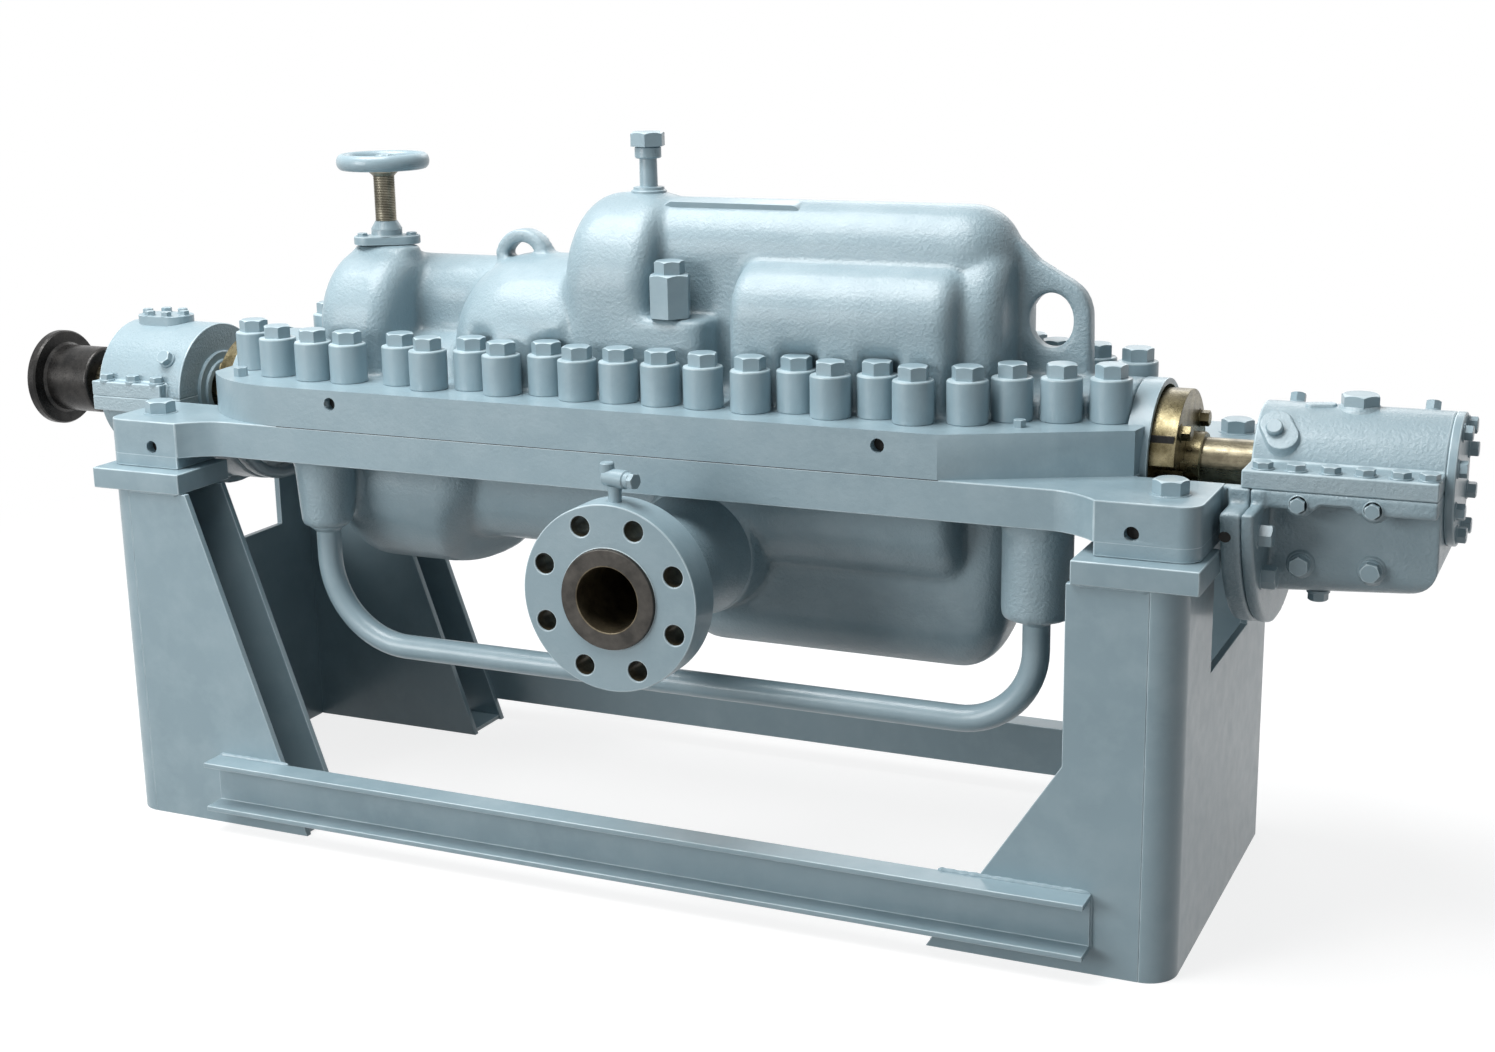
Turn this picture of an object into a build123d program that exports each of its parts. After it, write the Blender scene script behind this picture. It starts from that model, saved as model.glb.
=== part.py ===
"""Axially split multistage pump on its fabricated stand.

X runs along the shaft, from the coupling (-X) to the thrust bearing (+X).
The discharge nozzle points to -Y, the suction nozzle to +Y, and Z is up.
The origin is on the floor under the shaft line, midway between the feet.
All sizes are millimetres.
"""
import os
from math import cos, radians

from build123d import *

os.makedirs("parts", exist_ok=True)

# Shaft and casing split
shaft_z = 712.0
shaft_r = 36.0
bearing_clearance = 0.05
tunnel_clearance = 6.0

# Casing flanges, in plan
flange_half_width = 267.0
flange_end_x = 826.0
flange_end_half_width = 112.0
right_taper_x = 560.0
left_taper_x = 625.0
taper_end_half_width = 141.0
upper_flange_thick = 68.0
lower_flange_thick = 62.0
stud_row_y = -178.0
stud_stagger = 13.0
left_run_x = -602.0
left_run_pitch = 71.0
left_run_studs = 2
stage_run_x = -433.0
stage_run_pitch = 70.8
stage_run_studs = 6
hump_run_x = -8.0
hump_run_pitch = 75.0
hump_run_studs = 3
hump_run_out = 6.0
barrel_run_x = 227.0
barrel_run_pitch = 67.0
barrel_run_studs = 5
corner_stud_x = 572.0
end_stud_x = 769.0
end_stud_y = -80.0

# Casing body
side_half_width = 162.0
hump_half_width = 148.0
suction_half_width = 130.0
crown_z = 990.0
suction_left_x = -636.0
suction_right_x = -491.0
neck_half_width = 96.0
neck_crown_z = 850.0
belly_half_width = 112.0
stage_left_x = -385.0
stage_right_x = -120.0
stage_end_r = 132.0
crossover_left_x = -142.0
crossover_right_x = 602.0
crossover_end_r = 78.0
crossover_half_width = 82.0
crossover_crown_z = 1091.0
hump_crown_z = 1096.0
hump_right_x = 20.0
barrel_left_x = 170.0
barrel_right_x = 540.0
barrel_crown_z = 1001.0
barrel_corner_r = 85.0
keel_right_x = 616.0
shoulder_half_width = 118.0
shoulder_crown_z = 1036.0
keel_z = 343.0
belly_z = 484.0
bowl_z = 432.0
bowl_left_x = -612.0
bowl_right_x = -318.0
box_r = 122.0
box_end_x = 835.0
gland_seat_r = 112.0
gland_seat_depth = 30.0

# Pocket for the tall nut on the crossover
shelf_z = 910.0
shelf_right_x = 122.0
shelf_corner_r = 26.0
pocket_stud_x = 58.0
pocket_stud_y = -124.0

# Lifting eyes
eye_thick = 34.0
eye_hole_x = 655.0
eye_hole_z = 917.0
eye_hole_width = 70.0
eye_hole_height = 86.0
rear_eye_x = -278.0
rear_eye_r = 52.0
rear_eye_hole_r = 30.0

# Passage behind the neck, from the suction lobe to the stage casing
passage_y = 58.0
passage_half_width = 74.0
passage_crown_z = 974.0

# Feet and their pads
foot_inner_x = 807.0
foot_outer_x = 957.0
foot_corner_r = 26.0
flange_turn_x = 735.0
foot_front_y = 308.0
foot_back_y = 140.0
foot_height = 82.0
pad_inner_x = 783.0
pad_outer_x = 967.0
pad_front_y = 340.0
pad_back_y = 203.0
pad_thick = 36.0
foot_bolt_x = 898.0
foot_bolt_y = 232.0
foot_bolt_af = 46.0
foot_bolt_height = 22.0

# Nozzles
nozzle_z = 532.0
port_depth = 110.0
discharge_x = 105.0
discharge_face_y = 457.0
discharge_flange_r = 146.0
discharge_flange_thick = 62.0
discharge_raised_r = 78.5
discharge_bore_r = 51.0
discharge_pcd = 235.0
discharge_hole_r = 16.0
discharge_holes = 8
raised_face = 6.4
suction_x = -465.0
suction_face_y = 457.0
suction_flange_r = 160.0
suction_flange_thick = 37.0
suction_raised_r = 108.0
suction_bore_r = 77.0
suction_pcd = 270.0
suction_hole_r = 11.0
suction_holes = 12

# Cap nuts on the casing studs
nut_r = 32.0
nut_skirt = 66.0
nut_hex_af = 43.0
nut_hex_height = 21.0
nut_clearance = 3.5
scallop_over = 20.0
pocket_nut_af = 61.0
pocket_nut_skirt = 70.0

# Balance pipe
balance_y = -205.0
balance_r = 21.0
balance_left_x = -575.0
balance_right_x = 697.0
balance_low_z = 325.0
balance_left_bend = 150.0
balance_right_bend = 122.0
left_boss_r = 52.0
left_boss_z = 519.0
right_boss_r = 54.0
right_boss_z = 498.0

# Bearing housings
bracket_end_x = 998.0
bracket_flange_thick = 30.0
bracket_flange_r = 235.0
bracket_outer_r = 160.0
bracket_inner_r = 138.0
left_bracket_end_x = -945.0
left_bracket_flange_r = 176.0
left_house_left_x = left_bracket_end_x - 186.0
left_house_r = 122.0
left_house_flange_y = 140.0
left_flange_up = 27.0
thrust_left_x = 983.0
thrust_right_x = 1255.0
thrust_r = 98.0
thrust_flange_y = 165.0
thrust_flange_thick = 27.0
thrust_sump_y = 112.0
thrust_sump_z = 542.0
thrust_sump_edge = 40.0
thrust_mount_thick = 18.0
end_cover_thick = 14.0
end_bolt_circle_r = 81.0
end_bolt_af = 22.0
end_bolt_height = 14.0
end_bolt_count = 8
left_cover_x = left_bracket_end_x - 117.0
left_cover_length = 110.0
left_cover_width = 70.0
filler_x = thrust_right_x - 135.0
filler_af = 51.0
filler_height = 19.0
filler_neck_r = 23.0
flange_shoulder_z = shaft_z - 22.0
flange_shoulder_y = thrust_flange_y + 3.0

# Rotor
hub_disc_r = 90.0
hub_disc_x = -1337.0
hub_disc_thick = 22.0
hub_barrel_r = 63.0
hub_barrel_end_x = -1215.0
sleeve_r = 44.0
sleeve_out = 62.0
gland_r = 108.0
gland_thick = 38.0
gland_clearance = 1.0

# Valve on the suction end
valve_x = -558.0
stem_r = 18.5
wheel_z = 1140.0
wheel_r = 81.0
wheel_rim_r = 12.0
stem_gap = 0.3
gland_boss_height = 4.0
gland_plate_length = 116.0
gland_plate_width = 56.0
gland_plate_thick = 15.0
gland_nut_r = 27.0
gland_nut_height = 12.0

# Vent pipe
vent_x = -38.0
vent_r = 14.5
vent_stand = 54.0
vent_boss_r = 29.0
vent_collar_r = 22.0
vent_collar_height = 18.0
vent_hex_af = 52.0
vent_hex_height = 24.0
vent_boss_height = 3.0

# Stand
leg_outer_x = 945.0
cheek_y = 334.0
plate_thick = 12.0
bend_r = 48.0
column_depth = 105.0
leg_top_inner_x = leg_outer_x - 169.0
leg_foot_inner_x = leg_outer_x - 376.0
right_knee_z = 318.0
end_window_z = 420.0
end_window_y = 135.0
channel_low_z = 39.0
channel_height = 89.0
channel_depth = 46.0
channel_web = 7.0
channel_flange = 9.0
channel_left_x = -745.0
channel_right_x = 825.0

# Places worked out from the sizes above
upper_top_z = shaft_z + upper_flange_thick
lower_bottom_z = shaft_z - lower_flange_thick
foot_bottom_z = shaft_z - foot_height
pad_bottom_z = foot_bottom_z - pad_thick
gland_plate_z = crown_z + gland_boss_height
vent_base_z = hump_crown_z + vent_boss_height
passage_left_x = suction_right_x - 60
passage_right_x = stage_right_x - 60
spine_left_x = crossover_left_x + 60
shaft_line = Axis((0, 0, shaft_z), (1, 0, 0))
standing = (Align.CENTER, Align.CENTER, Align.MIN)
side_plane = Plane((0, 0, shaft_z), x_dir=(1, 0, 0), z_dir=(0, -1, 0))


def keep(builder, name):
    """Label a finished piece and write it."""
    builder.part.label = name
    export_step(builder.part, f"parts/{name}.step")


def flange_plan(height):
    """Plan of the split flange: straight sides, a curved left end and a tapered right end."""
    with BuildSketch(Plane.XY.offset(height)) as plan:
        with BuildLine():
            right_end = (flange_end_x, -flange_end_half_width)
            right_corner = (flange_end_x - 4, -taper_end_half_width)
            right_shoulder = (right_taper_x, -flange_half_width)
            left_shoulder = (-left_taper_x, -flange_half_width)
            left_corner = (-flange_end_x + 6, -taper_end_half_width - 30)
            left_end = (-flange_end_x, -flange_end_half_width)
            Polyline((0, 0), (flange_end_x, 0), right_end, right_corner, right_shoulder, left_shoulder)
            TangentArc(left_shoulder, left_corner, tangent=(-1, 0))
            Polyline(left_corner, left_end, (-flange_end_x, 0), (0, 0))
        make_face()
        mirror(about=Plane.XZ)
    return plan.sketch


def lower_flange_plan(height):
    """Plan of the lower flange: straight from foot to foot, widening in a curve to each foot."""
    with BuildSketch(Plane.XY.offset(height)) as plan:
        for side in (-1, 1):
            with BuildLine():
                turn = (side * flange_turn_x, -flange_half_width)
                foot_start = (side * foot_inner_x, -foot_front_y)
                foot_end = (side * foot_outer_x, -foot_front_y)
                foot_back = (side * foot_outer_x, -foot_back_y)
                Polyline((0, 0), (0, -flange_half_width), turn)
                Spline(turn, foot_start, tangents=((side, 0), (side * 0.6, -0.8)))
                Polyline(foot_start, foot_end, foot_back, (side * flange_end_x, -foot_back_y))
                Polyline((side * flange_end_x, -foot_back_y), (side * flange_end_x, 0), (0, 0))
            make_face()
        mirror(about=Plane.XZ)
        outer = plan.vertices().filter_by(lambda v: abs(v.X) > foot_outer_x - 1)
        corners = outer.filter_by(lambda v: abs(v.Y) > foot_front_y - 1)
        fillet(corners, foot_corner_r)
    return plan.sketch


def arch(x0, x1, half_width, end_z, edges, corner=None, centre_y=0):
    """Casing lobe between two planes: straight sides and a crown (or keel) with round corners.

    The end rims are rounded by the two edges given, left and right. Without a corner
    radius the crown is a half circle.
    """
    way = 1 if end_z > shaft_z else -1
    corner = corner or half_width
    side_z = end_z - way * corner
    front = centre_y - half_width
    back = centre_y + half_width
    with BuildPart() as lobe:
        with BuildSketch(Plane.YZ.offset(x0)):
            with BuildLine():
                Line((front, shaft_z), (front, side_z))
                if corner < half_width:
                    slant = corner * (1 - cos(radians(45)))
                    front_top = (front + corner, end_z)
                    back_top = (back - corner, end_z)
                    ThreePointArc((front, side_z), (front + slant, end_z - way * slant), front_top)
                    Line(front_top, back_top)
                    ThreePointArc(back_top, (back - slant, end_z - way * slant), (back, side_z))
                else:
                    ThreePointArc((front, side_z), (centre_y, end_z), (back, side_z))
                Polyline((back, side_z), (back, shaft_z), (front, shaft_z))
            make_face()
        extrude(amount=x1 - x0)
        for end, edge in zip((0, -1), edges):
            rim = lobe.faces().filter_by(Axis.X).sort_by(Axis.X)[end].edges()
            fillet(rim.filter_by(lambda e: abs(e.center().Z - shaft_z) > 1), edge)
    return lobe.part


def hex_prism(across_flats, height):
    """Hexagonal prism standing on the XY plane."""
    with BuildPart() as prism:
        with BuildSketch():
            RegularPolygon(across_flats / 2, 6, major_radius=False)
        extrude(amount=height)
    return prism.part


def cap_nut(skirt_r, skirt, hex_af, hex_height):
    """Cap nut: a long round skirt with a smaller hexagon on top."""
    with BuildPart() as nut:
        Cylinder(skirt_r, skirt, align=standing)
        with BuildSketch(Plane.XY.offset(skirt)):
            RegularPolygon(hex_af / 2, 6, major_radius=False)
        extrude(amount=hex_height)
    return nut.part


def stud_places():
    """Stud centres along the front edge of the flange; two of the runs are staggered."""
    places = []
    for start, pitch, count, stagger in (
        (left_run_x, left_run_pitch, left_run_studs, 0),
        (stage_run_x, stage_run_pitch, stage_run_studs, stud_stagger),
        (barrel_run_x, barrel_run_pitch, barrel_run_studs, -stud_stagger),
    ):
        for i in range(count):
            places.append((start + i * pitch, stud_row_y + stagger * (-1) ** i))
    for i in range(hump_run_studs):
        places.append((hump_run_x + i * hump_run_pitch, stud_row_y - hump_run_out))
    places.append((corner_stud_x, stud_row_y + stud_stagger))
    for step in range(3):
        x = end_stud_x - step * left_run_pitch
        y = end_stud_y - step * 1.5 * stud_stagger
        places.append((x, y))
    for step in (1, 2):
        x = left_run_x - step * 1.2 * left_run_pitch
        y = stud_row_y + step * step * 1.2 * stud_stagger
        places.append((x, y))
    return places


def inner_stud_places():
    """Studs of the staggered runs that stand closest to the casing, where its wall is scalloped."""
    inner_y = stud_row_y + stud_stagger
    return [(x, y) for x, y in stud_places() if y == inner_y and stage_left_x < x < barrel_right_x]


def stud_wells():
    """Room for every cap nut, cut into the wall; it reaches higher over the inner studs."""
    inner = inner_stud_places()
    nut_height = nut_skirt + nut_hex_height
    with BuildPart() as wells:
        for x, y in stud_places():
            over = scallop_over if (x, y) in inner else nut_clearance
            with Locations((x, y, upper_top_z), (x, -y, upper_top_z)):
                Cylinder(nut_r + nut_clearance, nut_height + over, align=standing)
    return wells.part


def shaft_tunnel(clearance):
    """Cylinder along the shaft, the shaft's radius plus a clearance, longer than the pump."""
    with BuildPart() as tunnel:
        with BuildSketch(Plane.YZ.offset(-1500)):
            with Locations((0, shaft_z)):
                Circle(shaft_r + clearance)
        extrude(amount=3000)
    return tunnel.part


def upper_half(x0, x1):
    """Large block over the split plane, used to keep the top half of a turned shape."""
    with BuildPart() as block:
        with Locations(((x0 + x1) / 2, 0, shaft_z)):
            Box(x1 - x0, 2 * shaft_z, 2 * shaft_z, align=standing)
    return block.part


def stuffing_boxes():
    """Round stuffing boxes at both ends of the casing."""
    with BuildPart() as boxes:
        with BuildSketch(Plane.YZ.offset(-box_end_x)):
            with Locations((0, shaft_z)):
                Circle(box_r)
        extrude(amount=2 * box_end_x)
    return boxes.part


def gland_seats():
    """Round recesses for the glands, cut into both ends of the casing."""
    with BuildPart() as seats:
        for x in (-box_end_x, box_end_x - gland_seat_depth):
            with BuildSketch(Plane.YZ.offset(x)):
                with Locations((0, shaft_z)):
                    Circle(gland_seat_r)
            extrude(amount=gland_seat_depth)
    return seats.part


def lifting_eye():
    """Plate at the right end of the crossover, with a long hole for the hook."""
    with BuildPart() as eye:
        with BuildSketch(Plane.XZ.offset(-eye_thick / 2)):
            with BuildLine():
                Polyline((560, shaft_z + 20), (560, 1070), (599, 1041), (632, 1008), (687, 977))
                ThreePointArc((687, 977), (709, 955), (717, 925))
                Polyline((717, 925), (722, shaft_z + 20), (560, shaft_z + 20))
            make_face()
            with Locations((eye_hole_x, eye_hole_z)):
                Ellipse(eye_hole_width / 2, eye_hole_height / 2, mode=Mode.SUBTRACT)
        extrude(amount=eye_thick)
    return eye.part


def rear_lifting_eye():
    """Ring-shaped eye on the crown of the stage casing."""
    with BuildPart() as eye:
        with BuildSketch(Plane.XZ.offset(-eye_thick / 2)):
            with Locations((rear_eye_x, crown_z - 12)):
                Circle(rear_eye_r)
                Circle(rear_eye_hole_r, mode=Mode.SUBTRACT)
        extrude(amount=eye_thick)
    return eye.part


def pocket_shelf():
    """Wall between hump and barrel, whose top is the shelf for the tall nuts."""
    left = hump_right_x - 60
    length = shelf_right_x - left
    with BuildPart() as shelf:
        with Locations((left + length / 2, 0, shaft_z)):
            Box(length, 2 * hump_half_width, shelf_z - shaft_z, align=standing)
        fillet(shelf.edges().filter_by(Axis.Z), shelf_corner_r)
    return shelf.part


# Upper casing
with BuildPart() as upper_casing:
    extrude(flange_plan(shaft_z), amount=upper_flange_thick)
    add(stuffing_boxes())
    add(arch(suction_left_x, suction_right_x, suction_half_width, crown_z, (40, 40)))
    add(arch(suction_right_x - 60, stage_left_x + 80, neck_half_width, neck_crown_z, (20, 20)))
    passage_ends = (passage_left_x, passage_right_x)
    add(arch(*passage_ends, passage_half_width, passage_crown_z, (20, 20), centre_y=passage_y))
    add(arch(stage_left_x, stage_right_x, side_half_width, crown_z, (stage_end_r, 20)))
    add(arch(crossover_left_x, hump_right_x, hump_half_width, hump_crown_z, (55, 30)))
    crossover_edges = (50, crossover_end_r)
    add(arch(spine_left_x, crossover_right_x, crossover_half_width, crossover_crown_z, crossover_edges))
    add(arch(barrel_left_x, barrel_right_x, side_half_width, barrel_crown_z, (26, 26), barrel_corner_r))
    add(arch(barrel_right_x - 24, crossover_right_x, shoulder_half_width, shoulder_crown_z, (36, 36)))
    add(pocket_shelf())
    with BuildSketch(Plane.XY.offset(crown_z - 30)):
        with Locations((valve_x, 0)):
            SlotOverall(gland_plate_length + 8, gland_plate_width + 8)
    extrude(amount=30 + gland_boss_height)
    with Locations((vent_x, 0, hump_crown_z - 20)):
        Cylinder(vent_boss_r, 20 + vent_boss_height, align=standing)
    add(lifting_eye())
    add(rear_lifting_eye())
    add(stud_wells(), mode=Mode.SUBTRACT)
    add(upper_half(-2 * box_end_x, 2 * box_end_x), mode=Mode.INTERSECT)
    add(gland_seats(), mode=Mode.SUBTRACT)
    add(shaft_tunnel(tunnel_clearance), mode=Mode.SUBTRACT)
keep(upper_casing, "upper_casing")


def feet():
    """Two feet at each end, flush with the split plane, deeper than the flange."""
    with BuildPart() as four:
        with BuildSketch(Plane.XY.offset(foot_bottom_z)):
            with GridLocations(foot_inner_x + foot_outer_x, foot_front_y + foot_back_y, 2, 2):
                Rectangle(foot_outer_x - foot_inner_x, foot_front_y - foot_back_y)
        extrude(amount=foot_height)
        fillet(four.edges().filter_by(Axis.Z), foot_corner_r)
    return four.part


def bracket(x_casing, x_end, flange_r):
    """Half-round trough that carries a bearing housing, with its end flange."""
    way = 1 if x_end > x_casing else -1
    x_flange = x_end - way * bracket_flange_thick
    with BuildPart() as trough:
        with BuildSketch(side_plane):
            with BuildLine():
                Polyline(
                    (x_casing - way * 30, -bracket_inner_r),
                    (x_end, -bracket_inner_r),
                    (x_end, -flange_r),
                    (x_flange, -flange_r),
                    (x_flange, -bracket_outer_r),
                    (x_casing - way * 30, -bracket_outer_r),
                    close=True,
                )
            make_face()
        revolve(axis=shaft_line)
    return trough.part


def flange_shoulders(x0, x1):
    """Blocks beside the split flange, where the round mounting flange is cut down on top."""
    with BuildPart() as blocks:
        for side in (-1, 1):
            middle_y = side * (flange_shoulder_y + bracket_flange_r / 2)
            with Locations(((x0 + x1) / 2, middle_y, flange_shoulder_z)):
                Box(x1 - x0, bracket_flange_r, shaft_z, align=standing)
    return blocks.part


# Lower casing with its feet and bearing brackets
with BuildPart() as lower_casing:
    extrude(lower_flange_plan(lower_bottom_z), amount=lower_flange_thick)
    add(feet())
    add(bracket(flange_end_x, bracket_end_x, bracket_flange_r))
    add(bracket(-flange_end_x, left_bracket_end_x, left_bracket_flange_r))
    add(flange_shoulders(foot_outer_x + 1, bracket_end_x + 1), mode=Mode.SUBTRACT)
    add(stuffing_boxes())
    add(arch(bowl_left_x, bowl_right_x, side_half_width, bowl_z, (60, 60)))
    add(arch(bowl_right_x - 90, barrel_left_x, belly_half_width, belly_z, (20, 20)))
    add(arch(barrel_left_x - 140, barrel_right_x, side_half_width, belly_z, (30, 30)))
    add(arch(barrel_left_x - 130, keel_right_x, crossover_half_width, keel_z, (50, 50)))
    with BuildSketch(Plane.XZ.offset(-side_half_width)):
        with Locations((suction_x, nozzle_z)):
            Circle(112)
    extrude(amount=side_half_width)
    with BuildSketch(Plane.XZ):
        with Locations((discharge_x, nozzle_z)):
            Circle(108)
    extrude(amount=side_half_width)
    for x, way, r in ((suction_x, 1, suction_bore_r), (discharge_x, -1, discharge_bore_r)):
        with BuildSketch(Plane((x, way * side_half_width, nozzle_z), z_dir=(0, way, 0))):
            Circle(r)
        extrude(amount=-port_depth, mode=Mode.SUBTRACT)
    bosses = ((balance_left_x, left_boss_r, left_boss_z), (balance_right_x, right_boss_r, right_boss_z))
    for x, r, z in bosses:
        with BuildSketch(Plane.XY.offset(z)):
            with Locations((x, balance_y)):
                Circle(r)
        extrude(amount=lower_bottom_z - z)
    with Locations((0, 0, shaft_z)):
        Box(4 * box_end_x, 2 * shaft_z, shaft_z, align=standing, mode=Mode.SUBTRACT)
    add(gland_seats(), mode=Mode.SUBTRACT)
    add(shaft_tunnel(tunnel_clearance), mode=Mode.SUBTRACT)
keep(lower_casing, "lower_casing")


def nozzle(x, way, face_y, flange_r, flange_thick, raised_r, bore_r, pcd, hole_r, holes, root_r):
    """Nozzle turned about its own axis: flange with raised face, flared neck, bore and bolt holes."""
    turned = Plane((x, 0, nozzle_z), x_dir=(1, 0, 0), z_dir=(0, 0, 1))
    flange_front = face_y - raised_face
    flange_back = flange_front - flange_thick
    with BuildPart() as piece:
        with BuildSketch(turned):
            with BuildLine():
                Polyline((bore_r, way * side_half_width), (bore_r, way * face_y), (raised_r, way * face_y))
                Line((raised_r, way * face_y), (raised_r, way * flange_front))
                Line((raised_r, way * flange_front), (flange_r, way * flange_front))
                Line((flange_r, way * flange_front), (flange_r, way * flange_back))
                Line((flange_r, way * flange_back), (bore_r + 27, way * flange_back))
                Line((bore_r + 27, way * flange_back), (bore_r + 30, way * (side_half_width + 60)))
                Line((bore_r + 30, way * (side_half_width + 60)), (root_r, way * side_half_width))
                Line((root_r, way * side_half_width), (bore_r, way * side_half_width))
            make_face()
        revolve(axis=Axis((x, 0, nozzle_z), (0, 1, 0)))
        face_plane = Plane((x, way * flange_front, nozzle_z), x_dir=(1, 0, 0), z_dir=(0, way, 0))
        with BuildSketch(face_plane):
            with PolarLocations(pcd / 2, holes, start_angle=180 / holes):
                Circle(hole_r)
        extrude(amount=-flange_thick, mode=Mode.SUBTRACT)
    return piece


discharge_nozzle = nozzle(
    discharge_x, -1, discharge_face_y, discharge_flange_r, discharge_flange_thick, discharge_raised_r,
    discharge_bore_r, discharge_pcd, discharge_hole_r, discharge_holes, 100,
)
keep(discharge_nozzle, "discharge_nozzle")

suction_nozzle = nozzle(
    suction_x, 1, suction_face_y, suction_flange_r, suction_flange_thick, suction_raised_r,
    suction_bore_r, suction_pcd, suction_hole_r, suction_holes, 110,
)
keep(suction_nozzle, "suction_nozzle")

# Cap nuts on the casing studs, front and rear rows
for side, name in ((1, "front_casing_nuts"), (-1, "rear_casing_nuts")):
    with BuildPart() as nuts:
        with Locations([(x, side * y, upper_top_z) for x, y in stud_places()]):
            add(cap_nut(nut_r, nut_skirt, nut_hex_af, nut_hex_height))
    keep(nuts, name)

with BuildPart() as pocket_nuts:
    with Locations([(pocket_stud_x, side * pocket_stud_y, shelf_z) for side in (-1, 1)]):
        add(hex_prism(pocket_nut_af, pocket_nut_skirt))
    with Locations([(pocket_stud_x, side * pocket_stud_y, shelf_z + pocket_nut_skirt) for side in (-1, 1)]):
        add(hex_prism(nut_hex_af, nut_hex_height))
keep(pocket_nuts, "pocket_nuts")

# Balance pipe from the left boss to the right boss, under the casing
with BuildPart() as balance_pipe:
    with BuildLine() as route:
        FilletPolyline(
            (balance_left_x, balance_y, left_boss_z),
            (balance_left_x, balance_y, balance_low_z),
            (balance_right_x, balance_y, balance_low_z),
            (balance_right_x, balance_y, right_boss_z),
            radius=[balance_left_bend, balance_right_bend],
        )
    with BuildSketch(Plane((balance_left_x, balance_y, left_boss_z), z_dir=(0, 0, -1))):
        Circle(balance_r)
    sweep(path=route.line)
keep(balance_pipe, "balance_pipe")

# Vent pipe on the crossover, with a collar and a hexagon cap
with BuildPart() as vent_pipe:
    collar_z = vent_base_z + vent_stand
    with Locations((vent_x, 0, vent_base_z)):
        Cylinder(vent_boss_r - 3, 6, align=standing)
        Cylinder(vent_r, vent_stand, align=standing)
    with Locations((vent_x, 0, collar_z)):
        Cylinder(vent_collar_r, vent_collar_height, align=standing)
    with Locations((vent_x, 0, collar_z + vent_collar_height)):
        add(hex_prism(vent_hex_af, vent_hex_height))
keep(vent_pipe, "vent_pipe")

# Valve gland plate on the suction end
with BuildPart() as valve_gland:
    with BuildSketch(Plane.XY.offset(gland_plate_z)):
        with Locations((valve_x, 0)):
            SlotOverall(gland_plate_length, gland_plate_width)
            Circle(stem_r + stem_gap, mode=Mode.SUBTRACT)
    extrude(amount=gland_plate_thick)
    with BuildSketch(Plane.XY.offset(gland_plate_z + gland_plate_thick)):
        with Locations((valve_x, 0)):
            Circle(gland_nut_r)
            Circle(stem_r + stem_gap, mode=Mode.SUBTRACT)
    extrude(amount=gland_nut_height)
keep(valve_gland, "valve_gland")

# Valve stem and handwheel
with BuildPart() as valve_stem:
    with Locations((valve_x, 0, gland_plate_z + 1)):
        Cylinder(stem_r, wheel_z - 14 - gland_plate_z - 1, align=standing)
keep(valve_stem, "valve_stem")

with BuildPart() as handwheel:
    rim_plane = Plane((valve_x, 0, wheel_z), x_dir=(1, 0, 0), z_dir=(0, -1, 0))
    with BuildSketch(rim_plane):
        with Locations((wheel_r - wheel_rim_r, 0)):
            RegularPolygon(wheel_rim_r, 8, rotation=22.5)
    revolve(axis=Axis((valve_x, 0, wheel_z), (0, 0, 1)))
    with Locations((valve_x, 0, wheel_z - 14)):
        Cylinder(24, 26, align=standing)
    with Locations((valve_x, 0, wheel_z)):
        for turn in range(3):
            Box(2 * (wheel_r - wheel_rim_r), 18, 12, rotation=(0, 0, 60 * turn + 15))
keep(handwheel, "handwheel")


def turned_body(x0, x1, outer_r, inner_r):
    """Tube about the shaft line."""
    with BuildPart() as tube:
        with BuildSketch(Plane.YZ.offset(x0)):
            with Locations((0, shaft_z)):
                Circle(outer_r)
                Circle(inner_r, mode=Mode.SUBTRACT)
        extrude(amount=x1 - x0)
    return tube.part


# Rotor
with BuildPart() as shaft:
    with BuildSketch(Plane.YZ.offset(hub_disc_x + 10)):
        with Locations((0, shaft_z)):
            Circle(shaft_r)
    extrude(amount=thrust_right_x - 20 - hub_disc_x - 10)
keep(shaft, "shaft")

with BuildPart() as coupling_hub:
    add(turned_body(hub_disc_x, hub_disc_x + hub_disc_thick, hub_disc_r, shaft_r))
    add(turned_body(hub_disc_x + hub_disc_thick, hub_barrel_end_x, hub_barrel_r, shaft_r))
keep(coupling_hub, "coupling_hub")

with BuildPart() as shaft_sleeves:
    add(turned_body(box_end_x - gland_seat_depth + 6, box_end_x + sleeve_out, sleeve_r, shaft_r))
    add(turned_body(-box_end_x - sleeve_out, -box_end_x + gland_seat_depth - 6, sleeve_r, shaft_r))
keep(shaft_sleeves, "shaft_sleeves")

# Glands, bolted into the stuffing boxes
for name, way in (("right_gland", 1), ("left_gland", -1)):
    x0 = way * (box_end_x - gland_seat_depth)
    with BuildPart() as gland:
        x1 = x0 + way * (gland_seat_depth + gland_thick)
        add(turned_body(min(x0, x1), max(x0, x1), gland_r, sleeve_r + gland_clearance))
        with Locations((x1 - way * gland_thick / 2, 0, shaft_z)):
            Box(gland_thick + 2, 2 * gland_r + 10, 18, mode=Mode.SUBTRACT)
    keep(gland, name)

# Left bearing housing
with BuildPart() as left_housing:
    add(turned_body(left_house_left_x, left_bracket_end_x, left_house_r, shaft_r + bearing_clearance))
    with Locations(((left_house_left_x + left_bracket_end_x) / 2 - 15, 0, shaft_z)):
        length = left_bracket_end_x - left_house_left_x - 30
        Box(length, 2 * left_house_flange_y, 2 * left_flange_up)
    add(shaft_tunnel(bearing_clearance), mode=Mode.SUBTRACT)

with BuildPart() as left_bearing_upper:
    add(left_housing.part)
    add(upper_half(2 * left_house_left_x, 0), mode=Mode.INTERSECT)
keep(left_bearing_upper, "left_bearing_upper")

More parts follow.
